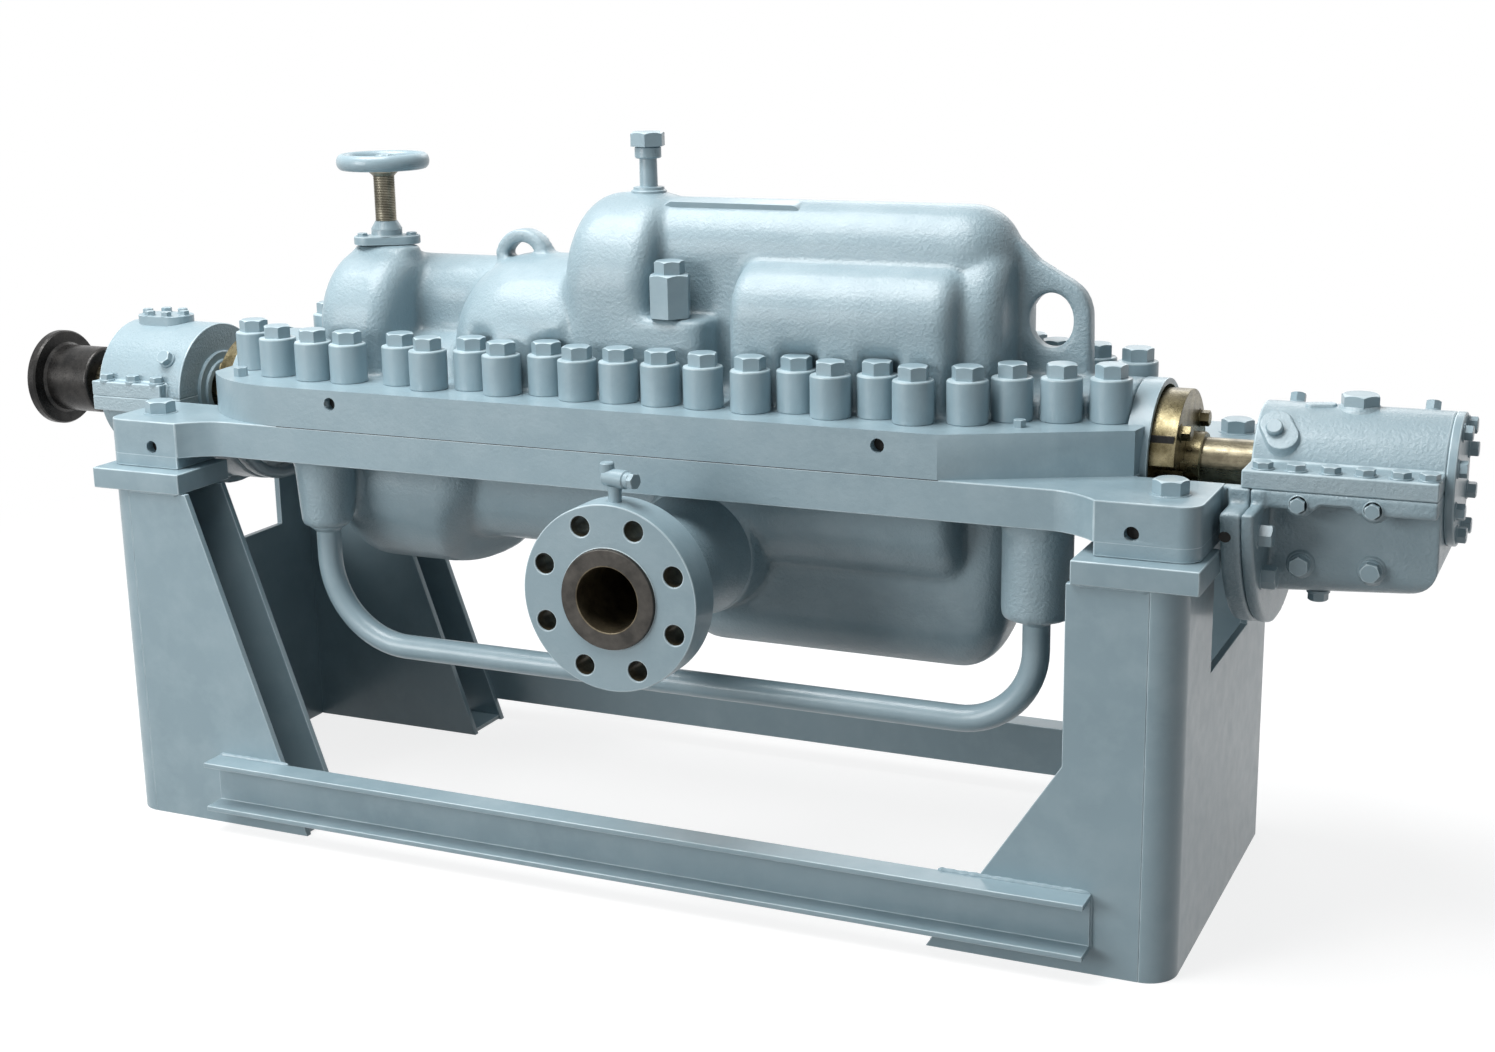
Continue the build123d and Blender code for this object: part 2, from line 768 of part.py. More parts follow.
with BuildPart() as left_bearing_lower:
    add(left_housing.part)
    add(upper_half(2 * left_house_left_x, 0), mode=Mode.SUBTRACT)
keep(left_bearing_lower, "left_bearing_lower")

with BuildPart() as left_oil_cover:
    with BuildSketch(Plane.XY.offset(shaft_z + left_house_r - 6)):
        with Locations((left_cover_x, 0)):
            SlotOverall(left_cover_length, left_cover_width)
    extrude(amount=18)
    add(turned_body(left_house_left_x, left_bracket_end_x, left_house_r, shaft_r), mode=Mode.SUBTRACT)
keep(left_oil_cover, "left_oil_cover")


def thrust_housing(x_left):
    """Thrust bearing housing, both halves in one, with its sump and split flanges."""
    middle_x = (x_left + thrust_right_x) / 2
    length = thrust_right_x - x_left
    with BuildPart() as housing:
        add(turned_body(x_left, thrust_right_x, thrust_r, shaft_r + bearing_clearance))
        with Locations((middle_x, 0, shaft_z)):
            Box(length, 2 * thrust_flange_y, 2 * thrust_flange_thick)
        with Locations((middle_x, 0, thrust_sump_z)):
            sump_height = shaft_z - thrust_sump_z
            Box(length, 2 * thrust_sump_y, sump_height, align=standing)
            fillet(housing.edges().filter_by(Axis.X).group_by(Axis.Z)[0], thrust_sump_edge)
        add(shaft_tunnel(bearing_clearance), mode=Mode.SUBTRACT)
    return housing.part


# Thrust bearing housing
with BuildPart() as thrust_bearing_upper:
    add(thrust_housing(thrust_left_x))
    add(upper_half(0, 2 * thrust_right_x), mode=Mode.INTERSECT)
keep(thrust_bearing_upper, "thrust_bearing_upper")

with BuildPart() as thrust_bearing_lower:
    add(thrust_housing(bracket_end_x))
    with BuildSketch(Plane.YZ.offset(bracket_end_x)):
        with Locations((0, shaft_z)):
            Circle(bracket_flange_r)
            Circle(shaft_r + bearing_clearance, mode=Mode.SUBTRACT)
    extrude(amount=thrust_mount_thick)
    add(flange_shoulders(bracket_end_x - 1, bracket_end_x + thrust_mount_thick + 1), mode=Mode.SUBTRACT)
    add(upper_half(0, 2 * thrust_right_x), mode=Mode.SUBTRACT)
keep(thrust_bearing_lower, "thrust_bearing_lower")

with BuildPart() as thrust_end_cover:
    with BuildSketch(Plane.YZ.offset(thrust_right_x)):
        with Locations((0, shaft_z)):
            Circle(thrust_r)
    extrude(amount=end_cover_thick)
keep(thrust_end_cover, "thrust_end_cover")

with BuildPart() as end_cover_bolts:
    with Locations(Plane.YZ.offset(thrust_right_x + end_cover_thick) * Pos(0, shaft_z, 0)):
        with PolarLocations(end_bolt_circle_r, end_bolt_count, start_angle=180 / end_bolt_count):
            add(hex_prism(end_bolt_af, end_bolt_height))
keep(end_cover_bolts, "end_cover_bolts")

with BuildPart() as oil_filler_cap:
    with BuildSketch(Plane.XY.offset(shaft_z + thrust_r)):
        with Locations((filler_x, 0)):
            RegularPolygon(filler_af / 2, 6, major_radius=False)
    extrude(amount=filler_height)
    with BuildSketch(Plane.XY.offset(shaft_z + thrust_r - 8)):
        with Locations((filler_x, 0)):
            Circle(filler_neck_r)
    extrude(amount=10)
    add(turned_body(thrust_left_x, thrust_right_x, thrust_r, shaft_r), mode=Mode.SUBTRACT)
keep(oil_filler_cap, "oil_filler_cap")

# Foot bolts
with BuildPart() as foot_bolts:
    with GridLocations(2 * foot_bolt_x, 2 * foot_bolt_y, 2, 2):
        with Locations((0, 0, shaft_z)):
            add(hex_prism(foot_bolt_af, foot_bolt_height))
keep(foot_bolts, "foot_bolts")

# Mounting pads on the legs
with BuildPart() as mounting_pads:
    with BuildSketch(Plane.XY.offset(pad_bottom_z)):
        with GridLocations(pad_inner_x + pad_outer_x, pad_front_y + pad_back_y, 2, 2):
            Rectangle(pad_outer_x - pad_inner_x, pad_front_y - pad_back_y)
    extrude(amount=pad_thick)
keep(mounting_pads, "mounting_pads")


def cheek_profile(side, knee):
    """Outline of a leg's side plate in the XZ plane, from the bend to its slanted inner edge."""
    bend_x = leg_outer_x - bend_r
    with BuildSketch(Plane.XZ) as outline:
        with BuildLine():
            if knee:
                inner = [(side * leg_top_inner_x, right_knee_z), (side * leg_foot_inner_x, 0)]
            else:
                inner = [(side * leg_foot_inner_x, 0)]
            outer = [(side * bend_x, 0), (side * bend_x, pad_bottom_z)]
            Polyline(*outer, (side * leg_top_inner_x, pad_bottom_z), *inner, close=True)
        make_face()
    return outline.sketch


def end_plate(side):
    """End plate of a leg pair, bent round at both corners, with a window between the columns."""
    with BuildPart() as plate:
        with BuildSketch():
            with BuildLine() as centre:
                bend_x = leg_outer_x - bend_r
                bend_y = cheek_y - bend_r
                knee = bend_r * (1 - cos(radians(45)))
                for sy in (-1, 1):
                    ThreePointArc(
                        (side * bend_x, sy * cheek_y),
                        (side * (leg_outer_x - knee), sy * (cheek_y - knee)),
                        (side * leg_outer_x, sy * bend_y),
                    )
                    inner_r = bend_r - plate_thick
                    inner_knee = plate_thick + inner_r * (1 - cos(radians(45)))
                    ThreePointArc(
                        (side * bend_x, sy * (cheek_y - plate_thick)),
                        (side * (leg_outer_x - inner_knee), sy * (cheek_y - inner_knee)),
                        (side * (leg_outer_x - plate_thick), sy * bend_y),
                    )
                    Line((side * bend_x, sy * cheek_y), (side * bend_x, sy * (cheek_y - plate_thick)))
                Line((side * leg_outer_x, -bend_y), (side * leg_outer_x, bend_y))
                inner_x = side * (leg_outer_x - plate_thick)
                Line((inner_x, -bend_y), (inner_x, bend_y))
            make_face()
        extrude(amount=pad_bottom_z)
        with Locations((side * leg_outer_x, 0, end_window_z)):
            Box(200, 2 * end_window_y, 400, align=standing, mode=Mode.SUBTRACT)
    return plate


keep(end_plate(-1), "left_end_plate")
keep(end_plate(1), "right_end_plate")

for side, side_name in ((-1, "left"), (1, "right")):
    for way, way_name in ((-1, "front"), (1, "rear")):
        knee = side > 0
        with BuildPart() as cheek:
            with Locations((0, way * (cheek_y - plate_thick / 2), 0)):
                add(extrude(cheek_profile(side, knee), amount=plate_thick / 2, both=True, mode=Mode.PRIVATE))
        keep(cheek, f"{side_name}_{way_name}_cheek")
        with BuildPart() as rib:
            with Locations((0, way * (cheek_y - column_depth), 0)):
                add(extrude(cheek_profile(side, knee), amount=plate_thick / 2, both=True, mode=Mode.PRIVATE))
                with Locations((side * (leg_outer_x - (bend_r + plate_thick) / 2), 0, 0)):
                    Box(bend_r - plate_thick, plate_thick, pad_bottom_z, align=standing)
        keep(rib, f"{side_name}_{way_name}_inner_plate")

# Tie channels along the front and rear of the stand
for way, name in ((-1, "front_channel"), (1, "rear_channel")):
    with BuildPart() as channel:
        with BuildSketch(Plane.YZ.offset(channel_left_x)):
            with BuildLine():
                web = way * cheek_y
                tip = way * (cheek_y + channel_depth)
                top = channel_low_z + channel_height
                Polyline(
                    (web, channel_low_z),
                    (tip, channel_low_z),
                    (tip, channel_low_z + channel_flange),
                    (way * (cheek_y + channel_web), channel_low_z + channel_flange),
                    (way * (cheek_y + channel_web), top - channel_flange),
                    (tip, top - channel_flange),
                    (tip, top),
                    (web, top),
                    close=True,
                )
            make_face()
        extrude(amount=channel_right_x - channel_left_x)
    keep(channel, name)
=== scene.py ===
"""Looks of the axially split pump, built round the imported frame.

Metres, in the frame's own axes: X along the shaft, discharge to -Y, Z up.
"""

from math import cos, pi, radians, sin

import bmesh
import bpy
from mathutils import Matrix, Vector


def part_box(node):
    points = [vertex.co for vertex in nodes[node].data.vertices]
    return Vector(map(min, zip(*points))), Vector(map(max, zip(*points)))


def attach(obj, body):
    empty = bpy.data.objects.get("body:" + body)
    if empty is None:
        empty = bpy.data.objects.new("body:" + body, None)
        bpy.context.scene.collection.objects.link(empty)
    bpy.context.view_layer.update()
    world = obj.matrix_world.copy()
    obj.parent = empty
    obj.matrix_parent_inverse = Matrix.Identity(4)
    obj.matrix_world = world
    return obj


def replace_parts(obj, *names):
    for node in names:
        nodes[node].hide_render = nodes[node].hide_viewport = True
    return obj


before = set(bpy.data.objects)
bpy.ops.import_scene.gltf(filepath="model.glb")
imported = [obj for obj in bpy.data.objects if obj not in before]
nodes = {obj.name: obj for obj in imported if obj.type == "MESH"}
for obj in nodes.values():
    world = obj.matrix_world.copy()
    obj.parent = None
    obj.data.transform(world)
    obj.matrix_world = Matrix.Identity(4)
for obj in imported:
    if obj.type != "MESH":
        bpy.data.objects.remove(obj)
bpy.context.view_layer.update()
scene = bpy.context.scene

SHAFT_Z = 0.712
SPLIT_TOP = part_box("front_casing_nuts")[0].z
SPLIT_BOTTOM = 0.650
NOZZLE_Z = 0.532
DISCHARGE_X, SUCTION_X = 0.105, -0.465
DISCHARGE_BORE, SUCTION_BORE = 0.051, 0.077
HOUSING_R = 0.098
FILLER_X = 1.120
PIPE_X, PIPE_Y = -0.575, -0.205
VALVE_X = -0.558
TAP_R, TAP_DEPTH = 0.011, 0.020


# Materials

def socket(node, name, value):
    node.inputs[name].default_value = value


class Surface:
    """A node material in the making, with short helpers for its nodes."""

    def __init__(self, name, roughness, metallic=0.0, coat=0.0, specular=0.5):
        self.material = bpy.data.materials.new(name)
        self.material.use_nodes = True
        self.tree = self.material.node_tree
        self.shader = self.tree.nodes["Principled BSDF"]
        socket(self.shader, "Roughness", roughness)
        socket(self.shader, "Metallic", metallic)
        socket(self.shader, "Coat Weight", coat)
        socket(self.shader, "Coat Roughness", 0.16)
        socket(self.shader, "Specular IOR Level", specular)
        self.place = self.tree.nodes.new("ShaderNodeTexCoord").outputs["Object"]

    def link(self, source, target):
        self.tree.links.new(source, target)

    def noise(self, scale, detail=4.0, roughness=0.55, stretch=None):
        node = self.tree.nodes.new("ShaderNodeTexNoise")
        socket(node, "Scale", scale)
        socket(node, "Detail", detail)
        socket(node, "Roughness", roughness)
        place = self.place
        if stretch:
            mapping = self.tree.nodes.new("ShaderNodeMapping")
            socket(mapping, "Scale", stretch)
            self.link(place, mapping.inputs["Vector"])
            place = mapping.outputs["Vector"]
        self.link(place, node.inputs["Vector"])
        return node.outputs["Fac"]

    def ramp(self, source, low, high, start=0.0, end=1.0):
        node = self.tree.nodes.new("ShaderNodeMapRange")
        socket(node, "From Min", low)
        socket(node, "From Max", high)
        socket(node, "To Min", start)
        socket(node, "To Max", end)
        self.link(source, node.inputs["Value"])
        return node.outputs["Result"]

    def mix(self, factor, first, second):
        node = self.tree.nodes.new("ShaderNodeMix")
        node.data_type = "RGBA"
        for value, slot in ((first, "A"), (second, "B")):
            pin = [i for i in node.inputs if i.name == slot and i.type == "RGBA"][0]
            if isinstance(value, tuple):
                pin.default_value = (*value, 1.0)
            else:
                self.link(value, pin)
        factor_pin = [i for i in node.inputs if i.name == "Factor" and i.type == "VALUE"][0]
        self.link(factor, factor_pin)
        return [o for o in node.outputs if o.type == "RGBA"][0]

    def edges(self, low, high):
        """Convexity: 1 on sharp edges, 0 on flats."""
        node = self.tree.nodes.new("ShaderNodeNewGeometry")
        return self.ramp(node.outputs["Pointiness"], low, high)

    def bumps(self, *layers):
        """Bump layers of (strength, source, distance in metres)."""
        normal = None
        for strength, source, distance in layers:
            node = self.tree.nodes.new("ShaderNodeBump")
            socket(node, "Strength", strength)
            socket(node, "Distance", distance)
            self.link(source, node.inputs["Height"])
            if normal:
                self.link(normal, node.inputs["Normal"])
            normal = node.outputs["Normal"]
        self.link(normal, self.shader.inputs["Normal"])

    def color(self, source):
        self.link(source, self.shader.inputs["Base Color"])

    def rough(self, source):
        self.link(source, self.shader.inputs["Roughness"])


def paint(name, grain, grain_size, dense=False, lift=0.0):
    """Grey-blue enamel over a casting's grain.

    dense says that the mesh is fine enough for pointiness to carry painted shade in its hollows and a painted
    highlight on its edges; lift lightens the whole, as a painted highlight.
    """
    made = Surface(name, 0.38, coat=0.20, specular=0.6)
    broad = made.noise(3.2, 3.0)
    cloud = made.noise(17.0, 5.0, 0.6)
    fine = made.noise(240.0, 3.0, 0.6)
    drift = made.mix(made.ramp(broad, 0.35, 0.65), (0.226, 0.318, 0.362), (0.256, 0.354, 0.400))
    cloudy = made.mix(made.ramp(cloud, 0.42, 0.68), drift, (0.276, 0.372, 0.416))
    if dense:
        # Painted shade: the hollows darken.
        cloudy = made.mix(made.edges(0.495, 0.44), cloudy, (0.070, 0.100, 0.112))
        # Painted highlight: the convex edges lighten.
        cloudy = made.mix(made.edges(0.52, 0.60), cloudy, (0.44, 0.54, 0.58))
    if lift:
        # Painted highlight: the whole colour lightens, unevenly, towards a pale blue-grey.
        highlight_amount = made.ramp(made.noise(26.0, 4.0), 0.35, 0.6, lift * 0.5, lift)
        cloudy = made.mix(highlight_amount, cloudy, (0.60, 0.72, 0.76))
    made.color(cloudy)
    made.rough(made.ramp(made.noise(42.0, 4.0), 0.3, 0.75, 0.33, 0.43))
    casting = made.noise(grain_size, 5.0, 0.62)
    made.bumps((grain, casting, 0.0012), (0.18, fine, 0.0004), (0.12, cloud, 0.003))
    return made.material


def metal(name, dark, light, roughness, metallic=1.0, stretch=None):
    """Bare or blackened metal with tool marks and stains."""
    made = Surface(name, roughness, metallic=metallic)
    cloud = made.noise(38.0, 5.0, 0.6)
    marks = made.noise(300.0, 3.0, 0.6, stretch)
    stained = made.mix(made.ramp(cloud, 0.35, 0.7), dark, light)
    made.color(stained)
    made.rough(made.ramp(marks, 0.3, 0.7, roughness - 0.09, roughness + 0.12))
    made.bumps((0.15, marks, 0.0003), (0.12, cloud, 0.0008))
    return made.material


cast_paint = paint("cast_paint", 1.35, 185.0, dense=True)
flat_paint = paint("flat_paint", 0.36, 130.0)
plate_paint = paint("plate_paint", 0.12, 60.0)
# Painted highlight: a lighter copy of the paint, for bevels and chamfers.
edge_highlight_paint = paint("edge_highlight_paint", 0.10, 150.0, lift=0.55)
steel = metal("bare_steel", (0.13, 0.115, 0.08), (0.30, 0.27, 0.19), 0.30, stretch=(0.15, 1.0, 1.0))
bronze = metal("gland_bronze", (0.085, 0.072, 0.038), (0.235, 0.205, 0.125), 0.30)
stem_metal = metal("stem_steel", (0.15, 0.14, 0.11), (0.33, 0.31, 0.25), 0.36)
black = metal("black_steel", (0.016, 0.016, 0.016), (0.045, 0.043, 0.041), 0.32, metallic=0.75)
face_metal = metal("bare_face", (0.034, 0.032, 0.029), (0.078, 0.072, 0.064), 0.38, metallic=0.7)
bore_metal = metal("bore_bronze", (0.060, 0.048, 0.030), (0.175, 0.145, 0.092), 0.40, metallic=0.6)
# Near-black: painted shade inside holes and bores, and the dark split seam between the flanges.
dark_hole = metal("dark_hole", (0.006, 0.006, 0.006), (0.014, 0.013, 0.012), 0.7, metallic=0.2)


# Making pieces

def put(mesh, name, material, body="pump"):
    piece = bpy.data.objects.new(name, mesh)
    scene.collection.objects.link(piece)
    mesh.materials.append(material)
    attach(piece, body)
    return piece


def mesh_of(bm, name):
    bmesh.ops.recalc_face_normals(bm, faces=bm.faces)
    mesh = bpy.data.meshes.new(name)
    bm.to_mesh(mesh)
    bm.free()
    return mesh


def applied(piece):
    """Bakes the piece's modifiers into its mesh."""
    graph = bpy.context.evaluated_depsgraph_get()
    baked = bpy.data.meshes.new_from_object(piece.evaluated_get(graph), depsgraph=graph)
    piece.modifiers.clear()
    piece.data = baked
    return piece


def smooth(piece, angle=32):
    """Smooth shading in which the large flats stay flat and the narrow bevels carry the turn."""
    piece.data.shade_smooth()
    piece.data.set_sharp_from_angle(angle=radians(angle))
    weighted = piece.modifiers.new("weighted", "WEIGHTED_NORMAL")
    weighted.keep_sharp = True
    weighted.weight = 100
    return applied(piece)


def clean_copy(node, flat=0.6):
    """bmesh copy of a CAD node with flat faces joined up."""
    bm = bmesh.new()
    bm.from_mesh(nodes[node].data)
    bmesh.ops.remove_doubles(bm, verts=bm.verts, dist=2e-5)
    if flat:
        bmesh.ops.dissolve_limit(bm, angle_limit=radians(flat), verts=bm.verts, edges=bm.edges)
    return bm


def rounded(piece, width, segments=2, angle=34):
    bevel = piece.modifiers.new("bevel", "BEVEL")
    bevel.width = width
    bevel.segments = segments
    bevel.limit_method = "ANGLE"
    bevel.angle_limit = radians(angle)
    bevel.miter_outer = "MITER_ARC"
    # Painted highlight: the bevels of painted pieces take the lighter edge paint.
    if piece.data.materials[0] in (flat_paint, plate_paint, cast_paint):
        piece.data.materials.append(edge_highlight_paint)
        bevel.material = len(piece.data.materials) - 1
    applied(piece)
    return smooth(piece)


def drilled(piece, holes):
    """Blind holes in a finished piece, from (mouth, way out, radius, depth)."""
    bm = bmesh.new()
    for mouth, way_out, radius, depth in holes:
        turned(bm, [(-depth, radius), (0.01, radius)], aim(mouth, way_out), 28)
    cutter = bpy.data.objects.new("cutter", mesh_of(bm, "cutter"))
    scene.collection.objects.link(cutter)
    knife = piece.modifiers.new("holes", "BOOLEAN")
    knife.operation = "DIFFERENCE"
    knife.object = cutter
    applied(piece)
    bpy.data.objects.remove(cutter)
    return smooth(piece)


def tapped(piece, holes):
    """Drills tapped holes, given for the front edge, there and at their mirror place at the rear."""
    both = [(x, y, z, s) for x, y, z in holes for s in (1, -1)]
    drilled(piece, [((x, s * y, z), (0, -s, 0), TAP_R, TAP_DEPTH) for x, y, z, s in both])


def dress(node, material, width, segments=2):
    """Bevelled copy that stands for a CAD node."""
    piece = put(mesh_of(clean_copy(node), node + "_skin"), node + "_skin", material)
    rounded(piece, width, segments)
    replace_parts(piece, node)
    return piece


def cut(bm, point, normal):
    """Takes away what lies past the plane and closes the cut."""
    everything = bm.verts[:] + bm.edges[:] + bm.faces[:]
    result = bmesh.ops.bisect_plane(
        bm, geom=everything, plane_co=point, plane_no=normal, clear_outer=True, dist=1e-6
    )
    rim = [e for e in result["geom_cut"] if isinstance(e, bmesh.types.BMEdge)]
    bmesh.ops.triangle_fill(bm, use_beauty=True, use_dissolve=False, edges=rim)


def cast(bm, name, material, voxel, rounds, drop, shift=(0, 0, 0), crisp=None):
    """Sand casting: sharp corners soften and inside corners fill, then the hidden faces go.

    crisp(co) is how much of the softening a place takes, from 0 to 1.
    """
    piece = put(mesh_of(bm, name), name, material)
    remesh = piece.modifiers.new("remesh", "REMESH")
    remesh.mode = "VOXEL"
    remesh.voxel_size = voxel
    applied(piece)
    soften = piece.modifiers.new("soften", "SMOOTH")
    soften.factor = 0.5
    soften.iterations = rounds
    if crisp:
        weights = piece.vertex_groups.new(name="soft")
        for vert in piece.data.vertices:
            weights.add([vert.index], crisp(vert.co), "REPLACE")
        soften.vertex_group = "soft"
    applied(piece)
    whole = bmesh.new()
    whole.from_mesh(piece.data)
    bmesh.ops.translate(whole, verts=whole.verts, vec=shift)
    hidden = [f for f in whole.faces if drop(f.calc_center_median())]
    bmesh.ops.delete(whole, geom=hidden, context="FACES")
    whole.to_mesh(piece.data)
    whole.free()
    piece.data.materials.clear()
    piece.data.materials.append(material)
    piece.data.shade_smooth()
    return piece


def aim(place, direction, spin=0.0):
    """Matrix that stands a Z-up shape at a place, along a direction."""
    turn = Vector(direction).to_track_quat("Z", "Y").to_matrix().to_4x4()
    return Matrix.Translation(place) @ turn @ Matrix.Rotation(spin, 4, "Z")


def loop_of(bm, radius, height, count, matrix):
    """Ring of vertices; radius and height are numbers or functions of the angle."""
    ring = []
    for i in range(count):
        angle = 2 * pi * i / count
        r = radius(angle) if callable(radius) else radius
        h = height(angle) if callable(height) else height
        ring.append(bm.verts.new(matrix @ Vector((r * cos(angle), r * sin(angle), h))))
    return ring


def bridge(bm, rings):
    """Joins each ring to the next with quads."""
    for first, second in zip(rings, rings[1:]):
        count = len(first)
        for i in range(count):
            bm.faces.new((first[i], first[(i + 1) % count], second[(i + 1) % count], second[i]))


def capped_skin(bm, rings):
    """Joins the rings and closes both ends."""
    bridge(bm, rings)
    bm.faces.new(rings[0])
    bm.faces.new(rings[-1])


def turned(bm, profile, matrix, count=48, closed=False, capped=True):
    """Turned shape from (height, radius) points about the matrix's Z axis."""
    rings = [loop_of(bm, r, h, count, matrix) for h, r in profile]
    if capped and not closed:
        capped_skin(bm, rings)
    else:
        bridge(bm, rings + rings[:1] if closed else rings)


def hexagon(bm, place, direction, flats, height, spin=0.0, base=0.0):
    """Hexagon head standing at base above place; its conical chamfer is marked for the painted highlight."""
    matrix = aim(place, direction, spin)
    half = flats / 2

    def side(angle):
        return half / cos((angle + pi / 6) % (pi / 3) - pi / 6)

    def shoulder(angle):
        return base + height - 0.55 * (side(angle) - half * 0.93)

    rings = [
        loop_of(bm, side, base, 24, matrix),
        loop_of(bm, side, shoulder, 24, matrix),
        loop_of(bm, half * 0.93, base + height, 24, matrix),
    ]
    bridge(bm, rings)
    for vert in rings[-1]:
        for face in vert.link_faces:
            face.material_index = 1
    bm.faces.new(rings[0])
    bm.faces.new(rings[-1])


def washer(bm, place, direction, radius, thick):
    edge = thick * 0.3
    turned(bm, [(-0.002, radius), (thick - edge, radius), (thick, radius - edge)], aim(place, direction), 28)


def bolt(bm, place, direction, flats, height, spin=0.0, collar=0.0):
    """Bolt head on a washer or spot face."""
    if collar:
        washer(bm, place, direction, flats * 0.66, collar)
    hexagon(bm, place, direction, flats, height, spin, collar)


def edged(piece):
    """Gives the marked chamfers of a painted piece the painted highlight, and leaves other pieces as they
    are.
    """
    if piece.data.materials[0] is flat_paint:
        piece.data.materials.append(edge_highlight_paint)
    else:
        for polygon in piece.data.polygons:
            polygon.material_index = 0
    return piece


def group(name, items, material):
    """One piece from several (function, arguments) makings."""
    bm = bmesh.new()
    for make, *values in items:
        make(bm, *values)
    return edged(smooth(put(mesh_of(bm, name), name, material)))


def lathe(
    name, profile, origin, direction, material, body="pump", count=96, closed=False, edge=0.0, capped=True,
):
    """Turned piece from (distance along the axis, radius) points."""
    bm = bmesh.new()
    turned(bm, profile, aim(origin, direction), count, closed, capped)
    piece = put(mesh_of(bm, name), name, material, body)
    return rounded(piece, edge) if edge else smooth(piece)


def prism(name, outline, low, high, material, edge=0.002):
    """Flat plate of a plan outline, in the XY plane."""
    bm = bmesh.new()
    bottom = [bm.verts.new((x, y, low)) for x, y in outline]
    top = [bm.verts.new((x, y, high)) for x, y in outline]
    bm.faces.new(bottom)
    bm.faces.new(top)
    bridge(bm, [bottom, top])
    return rounded(put(mesh_of(bm, name), name, material), edge)


def middle(low, high, z):
    """Point over the middle of a box's plan."""
    return ((low.x + high.x) / 2, (low.y + high.y) / 2, z)


def ends_of(node):
    """Lowest and highest corner of each loose solid of a CAD node."""
    bm = clean_copy(node, 0)
    left = set(bm.verts)
    found = []
    while left:
        seed = left.pop()
        stack, island = [seed], [seed.co.copy()]
        while stack:
            for edge in stack.pop().link_edges:
                for vert in edge.verts:
                    if vert in left:
                        left.remove(vert)
                        stack.append(vert)
                        island.append(vert.co.copy())
        low = Vector([min(c[i] for c in island) for i in range(3)])
        high = Vector([max(c[i] for c in island) for i in range(3)])
        found.append((low, high))
    bm.free()
    return sorted(found, key=lambda pair: (round(pair[0].x, 4), pair[0].y, pair[0].z))


# Stand: plates, weld beads and the strips at the floor
for name in [n for n in nodes if n.endswith(("cheek", "inner_plate", "channel", "end_plate"))]:
    dress(name, plate_paint, 0.0014)
dress("mounting_pads", plate_paint, 0.0022)


def bead(bm, start, end, radius, wave=0.14, count=8):
    """Weld bead between two points, slightly uneven."""
    start, end = Vector(start), Vector(end)
    steps = max(4, int((end - start).length / 0.006))
    rings = []
    for i in range(steps + 1):
        r = radius * (1 + wave * sin(i * 2.1) + 0.5 * wave * sin(i * 0.73 + 1.0))
        r *= 0.35 if i in (0, steps) else 1.0
        rings.append(loop_of(bm, r, 0.0, count, aim(start.lerp(end, i / steps), end - start)))
    capped_skin(bm, rings)


welds = []
low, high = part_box("front_channel")
leg_left, leg_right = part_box("left_front_cheek"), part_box("right_front_cheek")
for s in (-1, 1):
    y = s * (-low.y - 0.046)
    for x0, x1 in ((low.x + 0.002, leg_left[1].x - 0.03), (leg_right[0].x + 0.02, high.x - 0.002)):
        welds.append((bead, (x0, y, high.z + 0.0005), (x1, y, high.z + 0.0005), 0.0038))
        welds.append((bead, (x0, y, low.z - 0.0005), (x1, y, low.z - 0.0005), 0.0038))
    for x in (low.x, high.x):
        welds.append((bead, (x, y, low.z + 0.004), (x, y, high.z - 0.004), 0.0034))
    for sx in (-1, 1):
        welds.append((bead, (sx * 0.790, s * 0.3345, 0.5930), (sx * 0.895, s * 0.3345, 0.5930), 0.0032))
group("welds", welds, plate_paint)

# Strips that close the columns at the floor
FOOT_STRIP = ((0.574, 0.237), (0.574, 0.327), (0.646, 0.327), (0.646, 0.237))
for sx in (-1, 1):
    for sy in (-1, 1):
        outline = [(sx * x, sy * y) for x, y in FOOT_STRIP]
        prism(f"foot_strip_{'lr'[sx > 0]}{'fr'[sy < 0]}", outline, 0.002, 0.010, plate_paint, 0.0010)

# Upper casing: machined split flange below, cast lobes above
upper = clean_copy("upper_casing", 0.3)
cut(upper, (0, 0, SPLIT_TOP + 0.0001), (0, 0, 1))
upper_flange = put(mesh_of(upper, "upper_flange"), "upper_flange", flat_paint)
rounded(upper_flange, 0.0022)
EDGE_HOLES = [(-0.512, -0.267, 0.757), (0.466, -0.267, 0.757)]
FOOT_HOLES = [(-0.860, -0.308, 0.667), (0.862, -0.308, 0.667)]
tapped(upper_flange, EDGE_HOLES)
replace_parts(upper_flange, "upper_casing")

# The scallops over the nuts get roofs that slope towards the flange's edge
lobes = clean_copy("upper_casing", 0)
studs = []
for low, high in ends_of("front_casing_nuts"):
    studs.append(((low.x + high.x) / 2, -(low.y + high.y) / 2))
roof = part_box("front_casing_nuts")[1].z + 0.020
SCALLOP_R = 0.0355
for vert in lobes.verts:
    if abs(vert.co.z - roof) < 0.0015:
        for x, y in studs:
            inward = y - abs(vert.co.y)
            if abs(Vector((vert.co.x - x, inward)).length - SCALLOP_R) < 0.0015 and inward > 0.004:
                vert.co.z -= 0.034 * min(1.0, inward / 0.030)
                break
cut(lobes, (0, 0, SPLIT_TOP - 0.022), (0, 0, -1))
cut(lobes, (0.799, 0, 0), (1, 0, 0))
cut(lobes, (-0.799, 0, 0), (-1, 0, 0))


def eyes_crisp(c):
    """The lifting eyes keep their holes open; the rest of the casing softens fully."""
    if c.x > 0.604 and abs(c.y) < 0.03:
        return 0.25
    if abs(c.x + 0.278) < 0.06 and abs(c.y) < 0.03 and c.z > 0.982:
        return 0.12
    return 1.0


cast(
    lobes, "upper_lobes", cast_paint, 0.0048, 30,
    lambda c: c.z < SPLIT_TOP - 0.0004, (0, 0, -0.0008), eyes_crisp,
)
